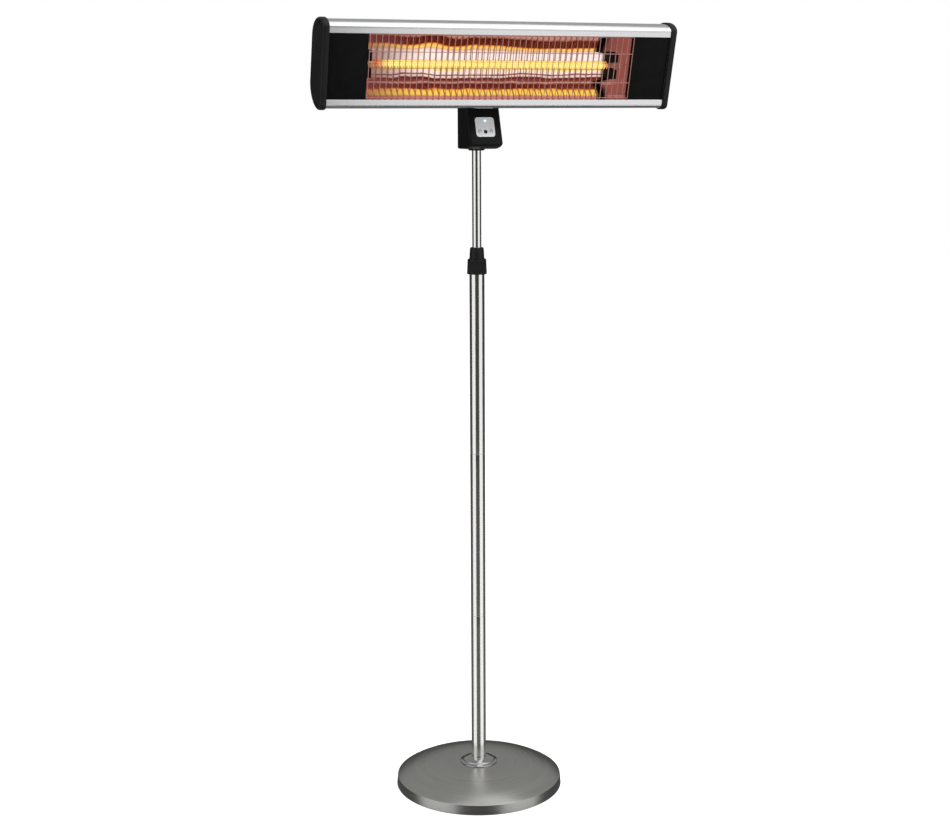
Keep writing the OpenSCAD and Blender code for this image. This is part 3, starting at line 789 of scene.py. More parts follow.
def colour_ramp(tree, value, stops):
    """A colour looked up along a value from 0 to 1."""
    node = tree.nodes.new("ShaderNodeValToRGB")
    tree.links.new(value, node.inputs["Fac"])
    ramp = node.color_ramp
    ramp.elements[0].position, ramp.elements[1].position = stops[0][0], stops[-1][0]
    for position, _ in stops[1:-1]:
        ramp.elements.new(position)
    for stop, (_, rgb) in zip(ramp.elements, stops):
        stop.color = (*rgb, 1)
    return node.outputs["Color"]


def drawn_curve(tree, value, points):
    """A drawn curve from 0 to 1."""
    node = tree.nodes.new("ShaderNodeFloatCurve")
    tree.links.new(value, node.inputs["Value"])
    line = node.mapping.curves[0]
    line.points[0].location, line.points[1].location = points[0], points[-1]
    for point in points[1:-1]:
        line.points.new(*point)
    node.mapping.update()
    return node.outputs["Value"]


def head_places(f):
    """Length share along the lamp window and height up the head's face in metres, as sockets."""
    place = head_frame()
    split = f.tree.nodes.new("ShaderNodeSeparateXYZ")
    f.tree.links.new(f.place, split.inputs[0])
    up = place.to_3x3() @ Vector((0, 0, 1))
    dot = f.tree.nodes.new("ShaderNodeVectorMath")
    dot.operation = "DOT_PRODUCT"
    f.tree.links.new(f.place, dot.inputs[0])
    dot.inputs[1].default_value = up
    height = math_node(f.tree, "SUBTRACT", dot.outputs["Value"], place.translation.dot(up))
    return f.ranged(split.outputs[0], 0, 1, -WINDOW_HALF_W, WINDOW_HALF_W), height


WINDOW_HALF_W = 277 * MM        # half the length of the lamp window
PAINTED_WIRE_IMAGES = 45.9              # painted mirror images of the guard's wires across the reflector
PAINTED_GLOW_BANDS = (                  # height up the reflector in mm, and the display colour of the lamp's painted reflected glow there
    (-59, (196, 124, 114)), (-57.2, (235, 165, 80)), (-55.6, (255, 214, 96)),
    (-49.5, (255, 198, 72)), (-48.3, (225, 120, 44)), (-47.1, (90, 18, 8)), (-42.5, (84, 16, 8)),
    (-41.1, (150, 76, 66)), (-39.2, (222, 158, 148)), (-37.4, (130, 62, 54)),
    (-33.5, (74, 14, 8)), (-31.6, (78, 16, 10)), (-30.4, (226, 186, 178)), (-27.2, (246, 214, 206)),
    (-25.9, (120, 50, 40)), (-24.4, (128, 58, 48)), (-23, (252, 226, 212)), (-16.6, (255, 232, 214)),
    (-15.4, (255, 222, 110)), (3, (255, 222, 110)), (4.4, (255, 238, 230)),
    (19, (255, 238, 230)), (23, (244, 206, 190)), (25.5, (236, 176, 120)),
    (28, (255, 214, 110)), (31.6, (255, 196, 84)), (33.4, (236, 136, 56)), (34.8, (150, 50, 24)),
    (36.2, (78, 14, 8)), (50, (72, 12, 8)), (52, (160, 100, 88)), (55, (190, 134, 122)))


def reflector_metal():
    """Pressed bright reflector: the lamp's reflected glow is painted on it as emission, in long bands, one
    to a fold.
    """
    f = Finish("Reflector sheet")
    along_x, height = head_places(f)
    # Painted reflection: the lamp's glow is laid into the emission in bands by height. The drawn curves and
    # noise shift the bands up and down along the head.
    reach = 60 * MM
    upper = drawn_curve(f.tree, along_x, (
        (0, 0.6), (0.08, 0.67), (0.17, 0.48), (0.25, 0.74), (0.34, 0.34),
        (0.43, 0.54), (0.56, 0.38), (0.71, 0.22), (0.83, 0.32), (1, 0.35)))
    lower = drawn_curve(f.tree, along_x, (
        (0, 0.5), (0.1, 0.42), (0.17, 0.8), (0.3, 0.42), (0.5, 0.5),
        (0.64, 0.82), (0.73, 0.45), (0.85, 0.76), (1, 0.5)))
    upper_part = f.ranged(height, 0, 20 * MM, 16 * MM, 30 * MM)
    lower_part = math_node(f.tree, "MULTIPLY", f.ranged(height, 8 * MM, 0, -32 * MM, -38 * MM),
                           f.ranged(height, 1, 0, -20 * MM, -12 * MM))
    ragged = noise(f.tree, stretched(f.tree, f.place, 34.0, 60.0, 60.0), 1.0, 2.0)
    shift = f.ranged(ragged, -1.2 * MM, 1.2 * MM)
    for curve, part in ((upper, upper_part), (lower, lower_part)):
        shift = math_node(f.tree, "MULTIPLY_ADD", math_node(f.tree, "SUBTRACT", curve, 0.5), part, shift)
    waved = f.ranged(math_node(f.tree, "SUBTRACT", height, shift), 0, 1, -reach, reach)
    glow = colour_ramp(f.tree, waved, [((z * MM / reach + 1) / 2, display(*rgb)) for z, rgb in PAINTED_GLOW_BANDS])
    # Streaky noise darkens patches of the painted glow bands.
    streaks = noise(f.tree, stretched(f.tree, f.place, 130.0, 40.0, 150.0), 1.0, 3.0)
    glow = f.mix(f.ranged(streaks, 0.2, 0), glow, display(96, 34, 20))
    # Painted reflection: dark stripes across the painted glow stand for the mirror images of the guard's
    # wires.
    first_wire_image = 0.0323
    turn = math_node(f.tree, "MULTIPLY", math_node(f.tree, "ADD", along_x, first_wire_image), TAU * PAINTED_WIRE_IMAGES)
    wires = f.ranged(math_node(f.tree, "COSINE", turn), 0, 0.8, 0.5, 0.92)
    glow = f.mix(wires, glow, display(104, 44, 30))

    fold_shift = 0.034          # the deep middle of the reflector is seen further along
    middle_part = math_node(f.tree, "MULTIPLY", f.ranged(height, 0, 1, -36 * MM, -33 * MM),
                            f.ranged(height, 1, 0, 20 * MM, 23 * MM))
    shifted = math_node(f.tree, "SUBTRACT", along_x, math_node(
        f.tree, "MULTIPLY", middle_part, fold_shift))
    # Painted light: along the lamp the base colour goes near black, and the emission carries the painted
    # glow bands. Towards the left end a painted copper glow fades in. Just past the lamp's right end the
    # sheet stays near black. Past the lamp's ends the sheet shows its own colour under a painted copper
    # glow.
    lit = colour_ramp(f.tree, shifted, [(0.0, (0.2,) * 3), (0.05, (0.36,) * 3), (0.1, (0.6,) * 3),
                                   (0.2, (1, 1, 1)), (0.878, (1, 1, 1)), (0.89, (0, 0, 0))])
    ends_past_lamp = colour_ramp(f.tree, shifted, [(0.0, (0.45,) * 3), (0.03, (0, 0, 0)), (0.912, (0, 0, 0)),
                                     (0.93, (1, 1, 1))])
    lines = f.effect(brushed_group(), Scale_X=9.0, Scale_Y=500.0, Scale_Z=500.0)
    rgb = tuple(colours().reflector)
    sheet = f.mix(f.ranged(lines.outputs["Tone"], 0, 1), darker(rgb, 0.9), darker(rgb, 1.1))
    f.set("Base Color", f.mix(ends_past_lamp, f.mix(lit, (0.01, 0.006, 0.005), (0.03, 0.012, 0.009)), sheet))
    painted_left_glow = f.mix(f.ranged(along_x, 0, 1, 0.4, 0.5), display(110, 56, 54), (0, 0, 0))
    f.set("Emission Color", f.mix(ends_past_lamp, f.mix(lit, painted_left_glow, glow), display(116, 66, 60)))
    f.set("Emission Strength", 1.12)
    f.set("Metallic", 1.0)
    f.set("Roughness", f.ranged(lines.outputs["Tone"], 0.24, 0.3))
    f.bump(lines.outputs["Height"], 0.05, 0.0002)
    return f.material


def quartz():
    """Clear quartz tube with a faint amber cast."""
    f = Finish("Quartz")
    grain = f.effect(grain_group(), Scale=300.0)
    f.set("Base Color", f.mix(grain.outputs["Tone"], (1.0, 0.86, 0.66), (1.0, 0.93, 0.8)))
    f.set("Roughness", 0.02)
    f.set("IOR", 1.46)
    f.set("Transmission Weight", 1.0)
    return f.material


def hot_filament():
    """Glowing coil, yellow where hottest and red at its two ends."""
    f = Finish("Hot coil")
    along_x, _ = head_places(f)
    grain = f.effect(grain_group(), Scale=160.0)
    hot = f.mix(f.ranged(grain.outputs["Height"], 0, 1), tuple(colours().glow), (1.0, 0.92, 0.34))
    share = colour_ramp(f.tree, along_x, [(0.045, (0, 0, 0)), (0.085, (1, 1, 1)), (0.905, (1, 1, 1)),
                                     (0.922, (0, 0, 0))])
    ends = f.mix(f.ranged(grain.outputs["Height"], 0, 1), (0.1, 0.006, 0.002), (0.95, 0.13, 0.02))
    f.set("Base Color", (0.1, 0.05, 0.02))
    f.set("Emission Color", f.mix(share, ends, hot))
    f.set("Emission Strength", 1.05)
    f.set("Roughness", 0.6)
    return f.material


FINISHES = {
    "rubber": rubber, "bottom_plate": bottom_plate, "cast_iron": cast_iron, "zinc_steel": zinc_steel,
    "brushed_stainless": brushed_stainless, "tube": tube_stainless, "bright_flange": bright_flange,
    "black_plastic": black_plastic, "box_plastic": box_plastic, "natural_nylon": natural_nylon,
    "black_screws": blackened_screws, "silver_plate": silver_plate, "lit_lens": lit_lens,
    "black_button": black_button, "switch_parts": switch_parts, "circuit_green": circuit_green,
    "black_lead": black_lead, "black_steel": black_steel, "anodised_aluminium": anodised_aluminium,
    "gasket_rubber": gasket_rubber, "black_panel": black_panel, "reflector_metal": reflector_metal,
    "quartz": quartz, "hot_filament": hot_filament, "lamp_ceramic": lamp_ceramic,
    "lead_sleeve": lead_sleeve, "guard_wire": guard_wire,
}
MADE = {}
SLOT_OF = {s["node"]: s["material_slot"] for s in frame["record"]["subparts"]}
BODY_OF = {n: b for b, nodes in frame["record"]["behaviour"]["bodies"].items() for n in nodes}


def finish(key):
    """The material for a finish, made once."""
    if key not in MADE:
        MADE[key] = FINISHES[key]()
    return MADE[key]


# ---------------------------------------------------------------- stand

class HEATER_OT_base(bpy.types.Operator):
    """Spun cover, flange cover, foot ring and bottom plate of the base"""

    bl_idname = "heater.base"
    bl_label = "Base"

    def execute(self, context):
        low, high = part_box("base_cover")
        flange_low, flange_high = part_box("flange_cover")
        base_r, foot_r = high.x, flange_high.x
        rim_r = base_r - 2 * MM
        rim_h, fall = 22.5 * MM, 3.2
        top, sheet = high.z, 1.2 * MM
        edge_r = rim_r - 1.4 * MM
        outline = [(8 * MM, top), (foot_r, top)]
        for k in range(1, 41):
            r = foot_r + (edge_r - foot_r) * k / 40
            outline.append((r, top - (top - rim_h) * ((r - foot_r) / (rim_r - foot_r)) ** fall))
        rim = [outline[-1], (rim_r, rim_h, 1.6 * MM), (base_r, low.z + MM, 0.8 * MM),
               (base_r - MM, low.z, 0.5 * MM), (rim_r, low.z, 0.4 * MM), (rim_r - sheet, rim_h - 3 * MM)]
        outline += rounded(rim, MM)[1:]
        turned("base_cover_spun", "base_cover", outline, 256, sharp=55)

        z, pole_r = flange_low.z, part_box("pole_lower")[1].x
        high_z = flange_high.z
        outline = [(pole_r + 0.1 * MM, z), (foot_r, z), (foot_r, z + 1.8 * MM, 0.8 * MM),
                   (34.8 * MM, z + 4.2 * MM, 2 * MM), (34 * MM, z + 5.9 * MM, MM),
                   (32.6 * MM, z + 6.8 * MM, MM)]
        outline += [(33 * MM - 15.5 * MM * k / 8, z + 6.6 * MM + (high_z - z - 6.6 * MM)
                     * math.sin(math.pi / 2 * k / 8)) for k in range(1, 9)]
        outline += [(pole_r + 0.6 * MM, high_z, 0.4 * MM), (pole_r + 0.1 * MM, high_z - 0.8 * MM)]
        turned("flange_cover_turned", "flange_cover", rounded(outline, 0.6 * MM), 160)
        refine("foot_ring", 0.5 * MM)
        refine("base_plate", 0.3 * MM)
        return {"FINISHED"}


class HEATER_OT_poles(bpy.types.Operator):
    """Three pole sections and the slim inner tube"""

    bl_idname = "heater.poles"
    bl_label = "Pole"

    def execute(self, context):
        wall = 1.2 * MM
        for node in ("pole_lower", "pole_middle", "pole_upper", "inner_tube"):
            low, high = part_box(node)
            r, bore = high.x, high.x - wall
            outline = [(bore, low.z), (r - 0.2 * MM, low.z), (r, low.z + 0.2 * MM, 0.7 * MM)]
            outline += [(r, low.z + (high.z - low.z) * k / 12) for k in range(1, 12)]
            outline += [(r, high.z - 0.2 * MM, 0.7 * MM), (r - 0.2 * MM, high.z), (bore, high.z)]
            turned(node + "_drawn", node, rounded(outline, 0.5 * MM, 3) + [(bore, low.z)], 96, look="tube")
        return {"FINISHED"}


class HEATER_OT_collar(bpy.types.Operator):
    """Cone and ribbed nut of the twist clamp"""

    bl_idname = "heater.collar"
    bl_label = "Clamp collar"

    def execute(self, context):
        low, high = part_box("collet_housing")
        nut_low, nut_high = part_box("collar_nut")
        step = nut_high.z
        outline = [(17.9 * MM, low.z + MM), (17.9 * MM, step - 3.3 * MM), (16 * MM, step - 3.3 * MM),
                   (16 * MM, step), (15.8 * MM, step + 3 * MM, 2 * MM), (14.4 * MM, high.z - 2 * MM, MM),
                   (13.6 * MM, high.z, MM), (9.9 * MM, high.z, 0.5 * MM), (9.8 * MM, high.z - 4 * MM)]
        turned("collar_cone", "collet_housing", rounded(outline, 0.4 * MM), 96, sharp=45)

        ribs = sizes().nut_ribs
        low_r, high_r = nut_high.x, 39.5 * MM / 2

        def ribbed(r, z, angle):
            inside = min(max((z - nut_low.z - 3.2 * MM) / MM, 0), 1)
            inside *= min(max((step - 4 * MM - z) / MM, 0), 1)
            wave = 0.5 - 0.5 * math.cos(ribs * angle)
            return r - (0.9 * MM * wave ** 3 * inside if r > 19 * MM else 0)

        outline = [(17.95 * MM, nut_low.z), (low_r - 0.6 * MM, nut_low.z, 0.5 * MM),
                   (low_r, nut_low.z + MM, 0.8 * MM)]
        rows = 20
        outline += [(low_r + (high_r - low_r) * k / rows,
                     nut_low.z + 1.6 * MM + (step - nut_low.z - 3 * MM) * k / rows)
                    for k in range(1, rows)]
        outline += [(high_r, step - MM, 0.8 * MM), (high_r - MM, step, 0.6 * MM),
                    (16.3 * MM, step), (16.3 * MM, step - 3 * MM)]
        turned("collar_nut_ribbed", "collar_nut", rounded(outline, 0.3 * MM, 3), ribs * 12, ripple=ribbed)
        return {"FINISHED"}


# ---------------------------------------------------------------- control box

class HEATER_OT_control_box(bpy.types.Operator):
    """Front and rear shells of the control box, with the boss beneath and the screws"""

    bl_idname = "heater.control_box"
    bl_label = "Control box"

    def execute(self, context):
        s = sizes()
        front_low, front_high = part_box("box_front_shell")
        half, split = front_high.x, front_high.y
        gap = 0.2 * MM
        for name, side in (("front_shell", 1), ("rear_shell", -1)):
            bm = bmesh.new()
            rings = []
            turns = [90, 75, 60, 45, 30, 15, 0]
            for sign, order in ((-1, turns), (1, turns[::-1])):
                for a in order:
                    a = math.radians(a)
                    x = sign * (half - s.box_round * (1 - math.sin(a)))
                    rings.append([Vector((x, y, z)) for y, z in
                                  box_outline(s.box_round * (1 - math.cos(a)) * 0.6)])
            loft(bm, rings)
            bmesh.ops.bisect_plane(
                bm, geom=bm.verts[:] + bm.edges[:] + bm.faces[:], dist=1e-6,
                plane_co=(0, split - side * gap / 2, 0), plane_no=(0, side, 0), clear_outer=True)
            solidified(bm, 2.2 * MM)
            if side < 0:
                boss_z, floor_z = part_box("box_rear_shell")[0].z, front_low.z
                outline = [(9.7 * MM, boss_z), (15.8 * MM, boss_z, MM), (17.5 * MM, floor_z, 0.3 * MM),
                           (17.5 * MM, floor_z + 0.5 * MM)]
                lathe(bm, rounded(outline, 0.5 * MM), 72)
            shell = finish_piece(name, bm, "box_" + name, 32, "box_plastic")
            if side > 0:
                face = face_frame()
                inward = Matrix.Rotation(math.radians(-90), 4, "X")
                button = face.inverted() @ middle("power_button") - Vector((0, 8 * MM, 0))
                cut_by(shell, [plug(4.2 * MM, 20 * MM, face @ Matrix.Translation(button) @ inward)])
        refine("box_screws", 0.25 * MM)
        return {"FINISHED"}


def plate_outline(half_w, half_h, radius, steps=10):
    """Points round a rectangle with round corners."""
    points = []
    for cx, cz, start in ((1, 1, 0), (-1, 1, 90), (-1, -1, 180), (1, -1, 270)):
        for k in range(steps + 1):
            a = math.radians(start + 90 * k / steps)
            points.append((cx * (half_w - radius) + radius * math.cos(a),
                           cz * (half_h - radius) + radius * math.sin(a)))
    return points


class HEATER_OT_controls(bpy.types.Operator):
    """Control plate with its holes and marks, indicator lens and round button"""

    bl_idname = "heater.controls"
    bl_label = "Controls"

    def execute(self, context):
        place = face_frame()
        back = place.inverted()
        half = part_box("control_plate")[1].x
        thick = 0.8 * MM
        button = back @ middle("power_button")
        lens = back @ middle("led_lens")
        bm = bmesh.new()
        rings = []
        for depth, inset in ((0.5, 0.0), (-0.25, 0.0), (-0.42, 0.12), (-0.5, 0.35)):
            y = depth * thick
            rings.append([place @ Vector((x, y, z)) for x, z in
                          plate_outline(half - inset * MM, half - inset * MM, 6 * MM)])
        loft(bm, rings)
        plate = finish_piece("control_plate_satin", bm, "control_plate", 35)
        out = Matrix.Rotation(math.radians(90), 4, "X")
        cutters = [plug(r, 6 * MM, place @ Matrix.Translation((p.x, 3 * MM, p.z)) @ out)
                   for p, r in ((button, 4.1 * MM), (lens, 2.5 * MM))]
        cut_by(plate, cutters)

        face_y = -0.5 * thick
        stand = place @ Matrix.Translation((button.x, face_y, button.z)) @ out
        outline = [(3.75 * MM, -3 * MM), (3.75 * MM, 0.9 * MM, 0.7 * MM), (3 * MM, 1.35 * MM, 0.6 * MM),
                   (1.6 * MM, 1.1 * MM, 0.6 * MM), (0.01 * MM, 1.0 * MM)]
        turned("button_cap", "power_button", rounded(outline, 0.5 * MM), 64, stand)
        stand = place @ Matrix.Translation((lens.x, face_y, lens.z)) @ out
        outline = [(2.4 * MM, -3 * MM), (2.4 * MM, 0.1 * MM)] + [
            (2.4 * MM * math.cos(math.pi / 2 * k / 8) + 0.005 * MM,
             0.1 * MM + 0.6 * MM * math.sin(math.pi / 2 * k / 8)) for k in range(1, 9)]
        turned("indicator_lens", "led_lens", outline, 48, stand)

        bm = bmesh.new()
        for side in (-1, 1):
            centre = Vector((button.x + side * 12.6 * MM, face_y - 0.03 * MM, button.z + 0.6 * MM))
            path = []
            for k in range(25):
                t = k / 24
                a = math.radians(-40 + 300 * t)
                r = 3.0 * MM + 1.1 * MM * math.sin(math.pi * t)
                path.append(place @ (centre + Vector((-side * r * math.cos(a) * 0.8, 0, r * math.sin(a)))))
            tip = [place @ (centre + Vector((side * (0.4 - 0.5 * k) * MM, 0, (-1 + 1.3 * k) * MM)))
                   for k in range(3)]
            for line in (path, tip):
                tube_along(bm, line, 0.42 * MM, 6)
        marks = shaded("control_marks", bm, finish("black_screws"), 50)
        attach(marks, "mast")
        return {"FINISHED"}


class HEATER_OT_hardware(bpy.types.Operator):
    """Yoke, bracket, bolts, washers, glands and the tilt knob behind the head"""

    bl_idname = "heater.hardware"
    bl_label = "Tilt hardware"

    def execute(self, context):
        for node, width in (("yoke", 0.5), ("head_bracket", 0.5), ("yoke_bolt", 0.35), ("pivot_bolt", 0.4),
                            ("bracket_bolts", 0.35), ("pivot_washers", 0.15), ("pivot_spacer", 0.3),
                            ("cable_gland", 0.35), ("lead_gland", 0.35), ("head_gland", 0.35)):
            refine(node, width * MM)
        low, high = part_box("tilt_knob")
        centre = (low + high) / 2
        place = along(Vector((low.x, centre.y, centre.z)), (1, 0, 0))
        length, outer, lobes = high.x - low.x, (high.z - low.z) / 2, 6

        def lobed(r, z, angle):
            return r - (1.9 * MM * (0.5 - 0.5 * math.cos(lobes * angle)) ** 1.5 if r > 10 * MM else 0)

        outline = [(4.1 * MM, 0), (9 * MM, 0, 0.5 * MM), (9 * MM, 3.6 * MM, 0.8 * MM),
                   (outer - 1.2 * MM, 3.9 * MM, MM), (outer, 6 * MM, 1.6 * MM),
                   (outer, length - 2.6 * MM, 2 * MM), (outer - 2.6 * MM, length, 2 * MM),
                   (9.6 * MM, length, MM), (8.4 * MM, length - 0.8 * MM, MM), (0.02 * MM, length - 0.8 * MM)]
        turned("tilt_knob_lobed", "tilt_knob", rounded(outline, MM, 5), lobes * 20, place, lobed)
        return {"FINISHED"}


class HEATER_OT_lead(bpy.types.Operator):
    """Short flexible lead from the control box to the head, curved to the head at rest"""

    bl_idname = "heater.lead"
    bl_label = "Head lead"

    def execute(self, context):
        place = head_frame()
        out = place.to_3x3() @ Vector((0, 1, 0))
        low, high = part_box("lead_gland")
        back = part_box("box_rear_shell")[1].y
        start = Vector((0, back + 12 * MM, (low.z + high.z) / 2))
        stop = place @ Vector((0, sizes().head_depth + 12 * MM, 34 * MM))
        a, b, c, d = start, start + Vector((0, 62 * MM, 0)), stop + out * 74 * MM, stop
        bend = [a * (1 - t) ** 3 + b * 3 * (1 - t) ** 2 * t + c * 3 * (1 - t) * t * t + d * t ** 3
                for t in (k / 60 for k in range(61))]
        path = [start - Vector((0, 16 * MM, 0)), *bend, stop - out * 5 * MM]
        bm = bmesh.new()
        tube_along(bm, path, 3.4 * MM, 20)
        piece = finish_piece("head_lead_flexible", bm, "head_lead", 60, rides=False)
        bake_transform(piece)
        return {"FINISHED"}


# ---------------------------------------------------------------- head

class HEATER_OT_housing(bpy.types.Operator):
    """Aluminium housing extrusion with the fine groove along each brow"""

    bl_idname = "heater.housing"
    bl_label = "Housing"

    def execute(self, context):
        s = sizes()
        place = head_frame()
        low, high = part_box("housing")
        inner = whole_outline(s.sheet)
        lip = 0.4 * MM
        outline = ([(lip, s.window_half), (0, s.window_half + lip)] + whole_outline(0, True)
                   + [(0, -s.window_half - lip), (lip, -s.window_half), (s.sheet, -s.window_half)]
                   + inner[::-1] + [(s.sheet, s.window_half)])
        bm = bmesh.new()
        loft(bm, [[place @ Vector((x, y, z)) for y, z in outline] for x in (low.x, high.x)])
        finish_piece("housing_extrusion", bm, "housing", 28)
        return {"FINISHED"}


class HEATER_OT_end_caps(bpy.types.Operator):
    """Moulded end caps with recessed screws"""

    bl_idname = "heater.end_caps"
    bl_label = "End caps"

    def execute(self, context):
        s = sizes()
        place = head_frame()
        cap_low, cap_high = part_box("end_cap_right")
        screw_y, screw_z = 24 * MM, 78.5 * MM
        pocket = 3.6 * MM
        for node, side in (("end_cap_left", -1), ("end_cap_right", 1)):
            bm = bmesh.new()
            lip, edge_x = -s.cap_lip, cap_high.x - s.cap_round
            rings = [(cap_low.x, 9 * MM), (cap_low.x, lip + 1.2 * MM),
                     (cap_low.x + 0.5 * MM, lip + 0.3 * MM), (cap_low.x + 1.4 * MM, lip),
                     (edge_x - 2 * MM, lip)]
            for k in range(9):
                a = math.pi / 2 * k / 8
                rings.append((edge_x + s.cap_round * math.sin(a), lip + s.cap_round * (1 - math.cos(a))))
            rings.append((cap_high.x, 9 * MM))
            loft(bm, [[place @ Vector((side * x, y, z)) for y, z in whole_outline(i)] for x, i in rings])
            cap = finish_piece(node + "_moulded", bm, node, 35)
            turn = Matrix.Rotation(math.radians(90 * side), 4, "Y")
            cut_by(cap, [plug(4.3 * MM, 8 * MM, place @ Matrix.Translation(
                (side * (cap_high.x - pocket), screw_y, z)) @ turn) for z in (-screw_z, screw_z)])
        bm = bmesh.new()
        for side in (-1, 1):
            turn = Matrix.Rotation(math.radians(90 * side), 4, "Y")
            for z in (-screw_z, screw_z):
                stand = place @ Matrix.Translation(
                    (side * (cap_high.x - pocket - 0.1 * MM), screw_y, z)) @ turn
                outline = [(3.5 * MM, 0), (3.5 * MM, 0.9 * MM, 0.5 * MM), (2.4 * MM, 1.7 * MM, MM),
                           (1.5 * MM, 1.9 * MM, 0.2 * MM), (0.9 * MM, 0.9 * MM, 0.1 * MM),
                           (0.01 * MM, 0.8 * MM)]
                lathe(bm, rounded(outline, 0.5 * MM, 3), 40, stand)
        finish_piece("cap_screw_heads", bm, "cap_screws", 50)
        refine("cap_gaskets", 0.1 * MM)
        return {"FINISHED"}


class HEATER_OT_side_panels(bpy.types.Operator):
    """Black panels at each end of the lamp window"""

    bl_idname = "heater.side_panels"
    bl_label = "Side panels"

    def execute(self, context):
        place = head_frame()
        for node, side in (("side_panel_left", -1), ("side_panel_right", 1)):
            low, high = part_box(node)
            x0, x1 = sorted((side * abs(v) for v in (low.x, high.x)))
            inner = min(abs(low.x), abs(high.x))
            bm = bmesh.new()
            front = sizes().sheet
            block(bm, (x0, front, -66 * MM), (x1, front + 2 * MM, 66 * MM), 0.5 * MM, place, 3)
            wall = sorted((side * inner, side * (inner + 2 * MM)))
            block(bm, (wall[0], front + 1.5 * MM, -58 * MM), (wall[1], front + 12 * MM, 58 * MM),
                  0.4 * MM, place)
            finish_piece(node + "_coated", bm, node, 40)
        return {"FINISHED"}


class HEATER_OT_reflector(bpy.types.Operator):
    """Pressed reflector with its slow ripple, and its end plates"""

    bl_idname = "heater.reflector"
    bl_label = "Reflector"

    def execute(self, context):
        s = sizes()
        place = head_frame()
        low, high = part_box("reflector")
        folds = [(10, -57), (21.8, -48.2), (41, -43), (41, -39.5),
                 (47, -31), (47, 26), (29, 57), (10, 59.5)]
        bent = rounded([(y * MM, z * MM) for y, z in folds], 2.5 * MM, 4)
        profile = [bent[0]]
        for before, here in zip(bent, bent[1:]):
            steps = max(1, round(math.dist(before, here) / (3 * MM)))
            profile += [(before[0] + (here[0] - before[0]) * k / steps,
                         before[1] + (here[1] - before[1]) * k / steps) for k in range(1, steps + 1)]
        profile = [(folds[0][0] * MM, -70 * MM), *profile, (folds[-1][0] * MM, 70 * MM)]
        top = folds[-2][1] * MM

        def ripple(x, z):
            wave = math.sin(27 * x + 0.6) * 0.6 + math.sin(61 * x + 2.1) * 0.4
            share = min(abs(z) / top, 1)
            return s.reflector_wave * (1 + wave) * math.sin(math.pi * share)

        bm = bmesh.new()
        across = 150
        loft(bm, [[place @ Vector((x, y - ripple(x, z), z)) for y, z in profile]
                  for x in (low.x + (high.x - low.x) * i / across for i in range(across + 1))],
             closed=False, caps=(False, False))
        finish_piece("reflector_pressed", bm, "reflector", 50)
        refine("reflector_ends", 0.15 * MM)
        return {"FINISHED"}


class HEATER_OT_lamp(bpy.types.Operator):
    """Quartz tube, wound coil, ceramic holders and lamp leads"""

    bl_idname = "heater.lamp"
    bl_label = "Lamp"

    def execute(self, context):
        s = sizes()
        place = head_frame()
        low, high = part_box("lamp_tube")
        tube_r, wall, lead_r = 9 * MM, 0.85 * MM, 1.3 * MM
        axis = place @ Matrix.Translation((low.x, s.lamp_depth, 0)) @ Matrix.Rotation(
            math.radians(90), 4, "Y")
        length = high.x - low.x
        outline = [(3 * MM, -MM), (6 * MM, 0, 2 * MM), (tube_r, 4 * MM, 3 * MM)]
        outline += [(tube_r, length * k / 16) for k in range(1, 16)]
        outline += [(tube_r, length - 4 * MM, 3 * MM), (6 * MM, length, 2 * MM), (3 * MM, length + MM)]
        outer = rounded(outline, MM, 5)
        inner = [(max(rr - wall, 2 * MM), min(max(zz, wall), length - wall)) for rr, zz in outer]
        turned("quartz_tube", "lamp_tube", outer + inner[::-1] + [outer[0]], 64, axis)

        coil_low, coil_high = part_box("lamp_filament")
        turns = (coil_high.x - coil_low.x) / s.coil_pitch
        steps = int(turns * 18)
        path = []
        for k in range(steps + 1):
            a = TAU * turns * k / steps
            path.append(place @ Vector((coil_low.x + (coil_high.x - coil_low.x) * k / steps,
                                        s.lamp_depth + s.coil_radius * math.cos(a),
                                        s.coil_radius * math.sin(a))))
        bm = bmesh.new()
        tube_along(bm, path, 1.25 * MM, 6)
        core = [place @ Vector((coil_low.x + (coil_high.x - coil_low.x) * k / 40, s.lamp_depth, 0))
                for k in range(41)]
        tube_along(bm, core, 3.6 * MM, 16)
        finish_piece("lamp_coil", bm, "lamp_filament", 60)

        block_low, block_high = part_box("lamp_holders")
        bm = bmesh.new()
        wide = 20 * MM
        for x0 in (block_low.x, block_high.x - wide):
            for side in (-1, 1):
                z0, z1 = sorted((side * 7.4 * MM, side * 26 * MM))
                block(bm, (x0, 18 * MM, z0), (x0 + wide, 38 * MM, z1), 0.9 * MM, place, 3)
                block(bm, (x0 + 4 * MM, 36 * MM, z0 + 3 * MM), (x0 + wide - 4 * MM, 42 * MM, z1 - 3 * MM),
                      0.6 * MM, place)
        finish_piece("ceramic_holders", bm, "lamp_holders", 40)

        bm = bmesh.new()
        lead_low, lead_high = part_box("lamp_leads")
        start = high.x + 2 * MM
        path = [place @ Vector((start + 3 * MM * k, s.lamp_depth, 0)) for k in range(3)]
        ring_x = start + 8 * MM
        for k in range(1, 41):
            t = k / 40
            a = TAU * 1.5 * t
            grow = math.sin(math.pi * t)
            path.append(place @ Vector((ring_x + 12 * MM * t, s.lamp_depth + 8 * MM * grow * math.sin(a),
                                        -8 * MM * grow * math.cos(a) * min(1, 4 * t))))
        path += [place @ Vector((x, s.lamp_depth, 0)) for x in (ring_x + 16 * MM, lead_high.x)]
        tube_along(bm, path, lead_r)
        left = [place @ Vector((x, s.lamp_depth, 0)) for x in (lead_low.x, lead_low.x + 8 * MM, low.x - MM)]
        tube_along(bm, left, lead_r)
        finish_piece("lamp_lead_wires", bm, "lamp_leads", 50)
        return {"FINISHED"}


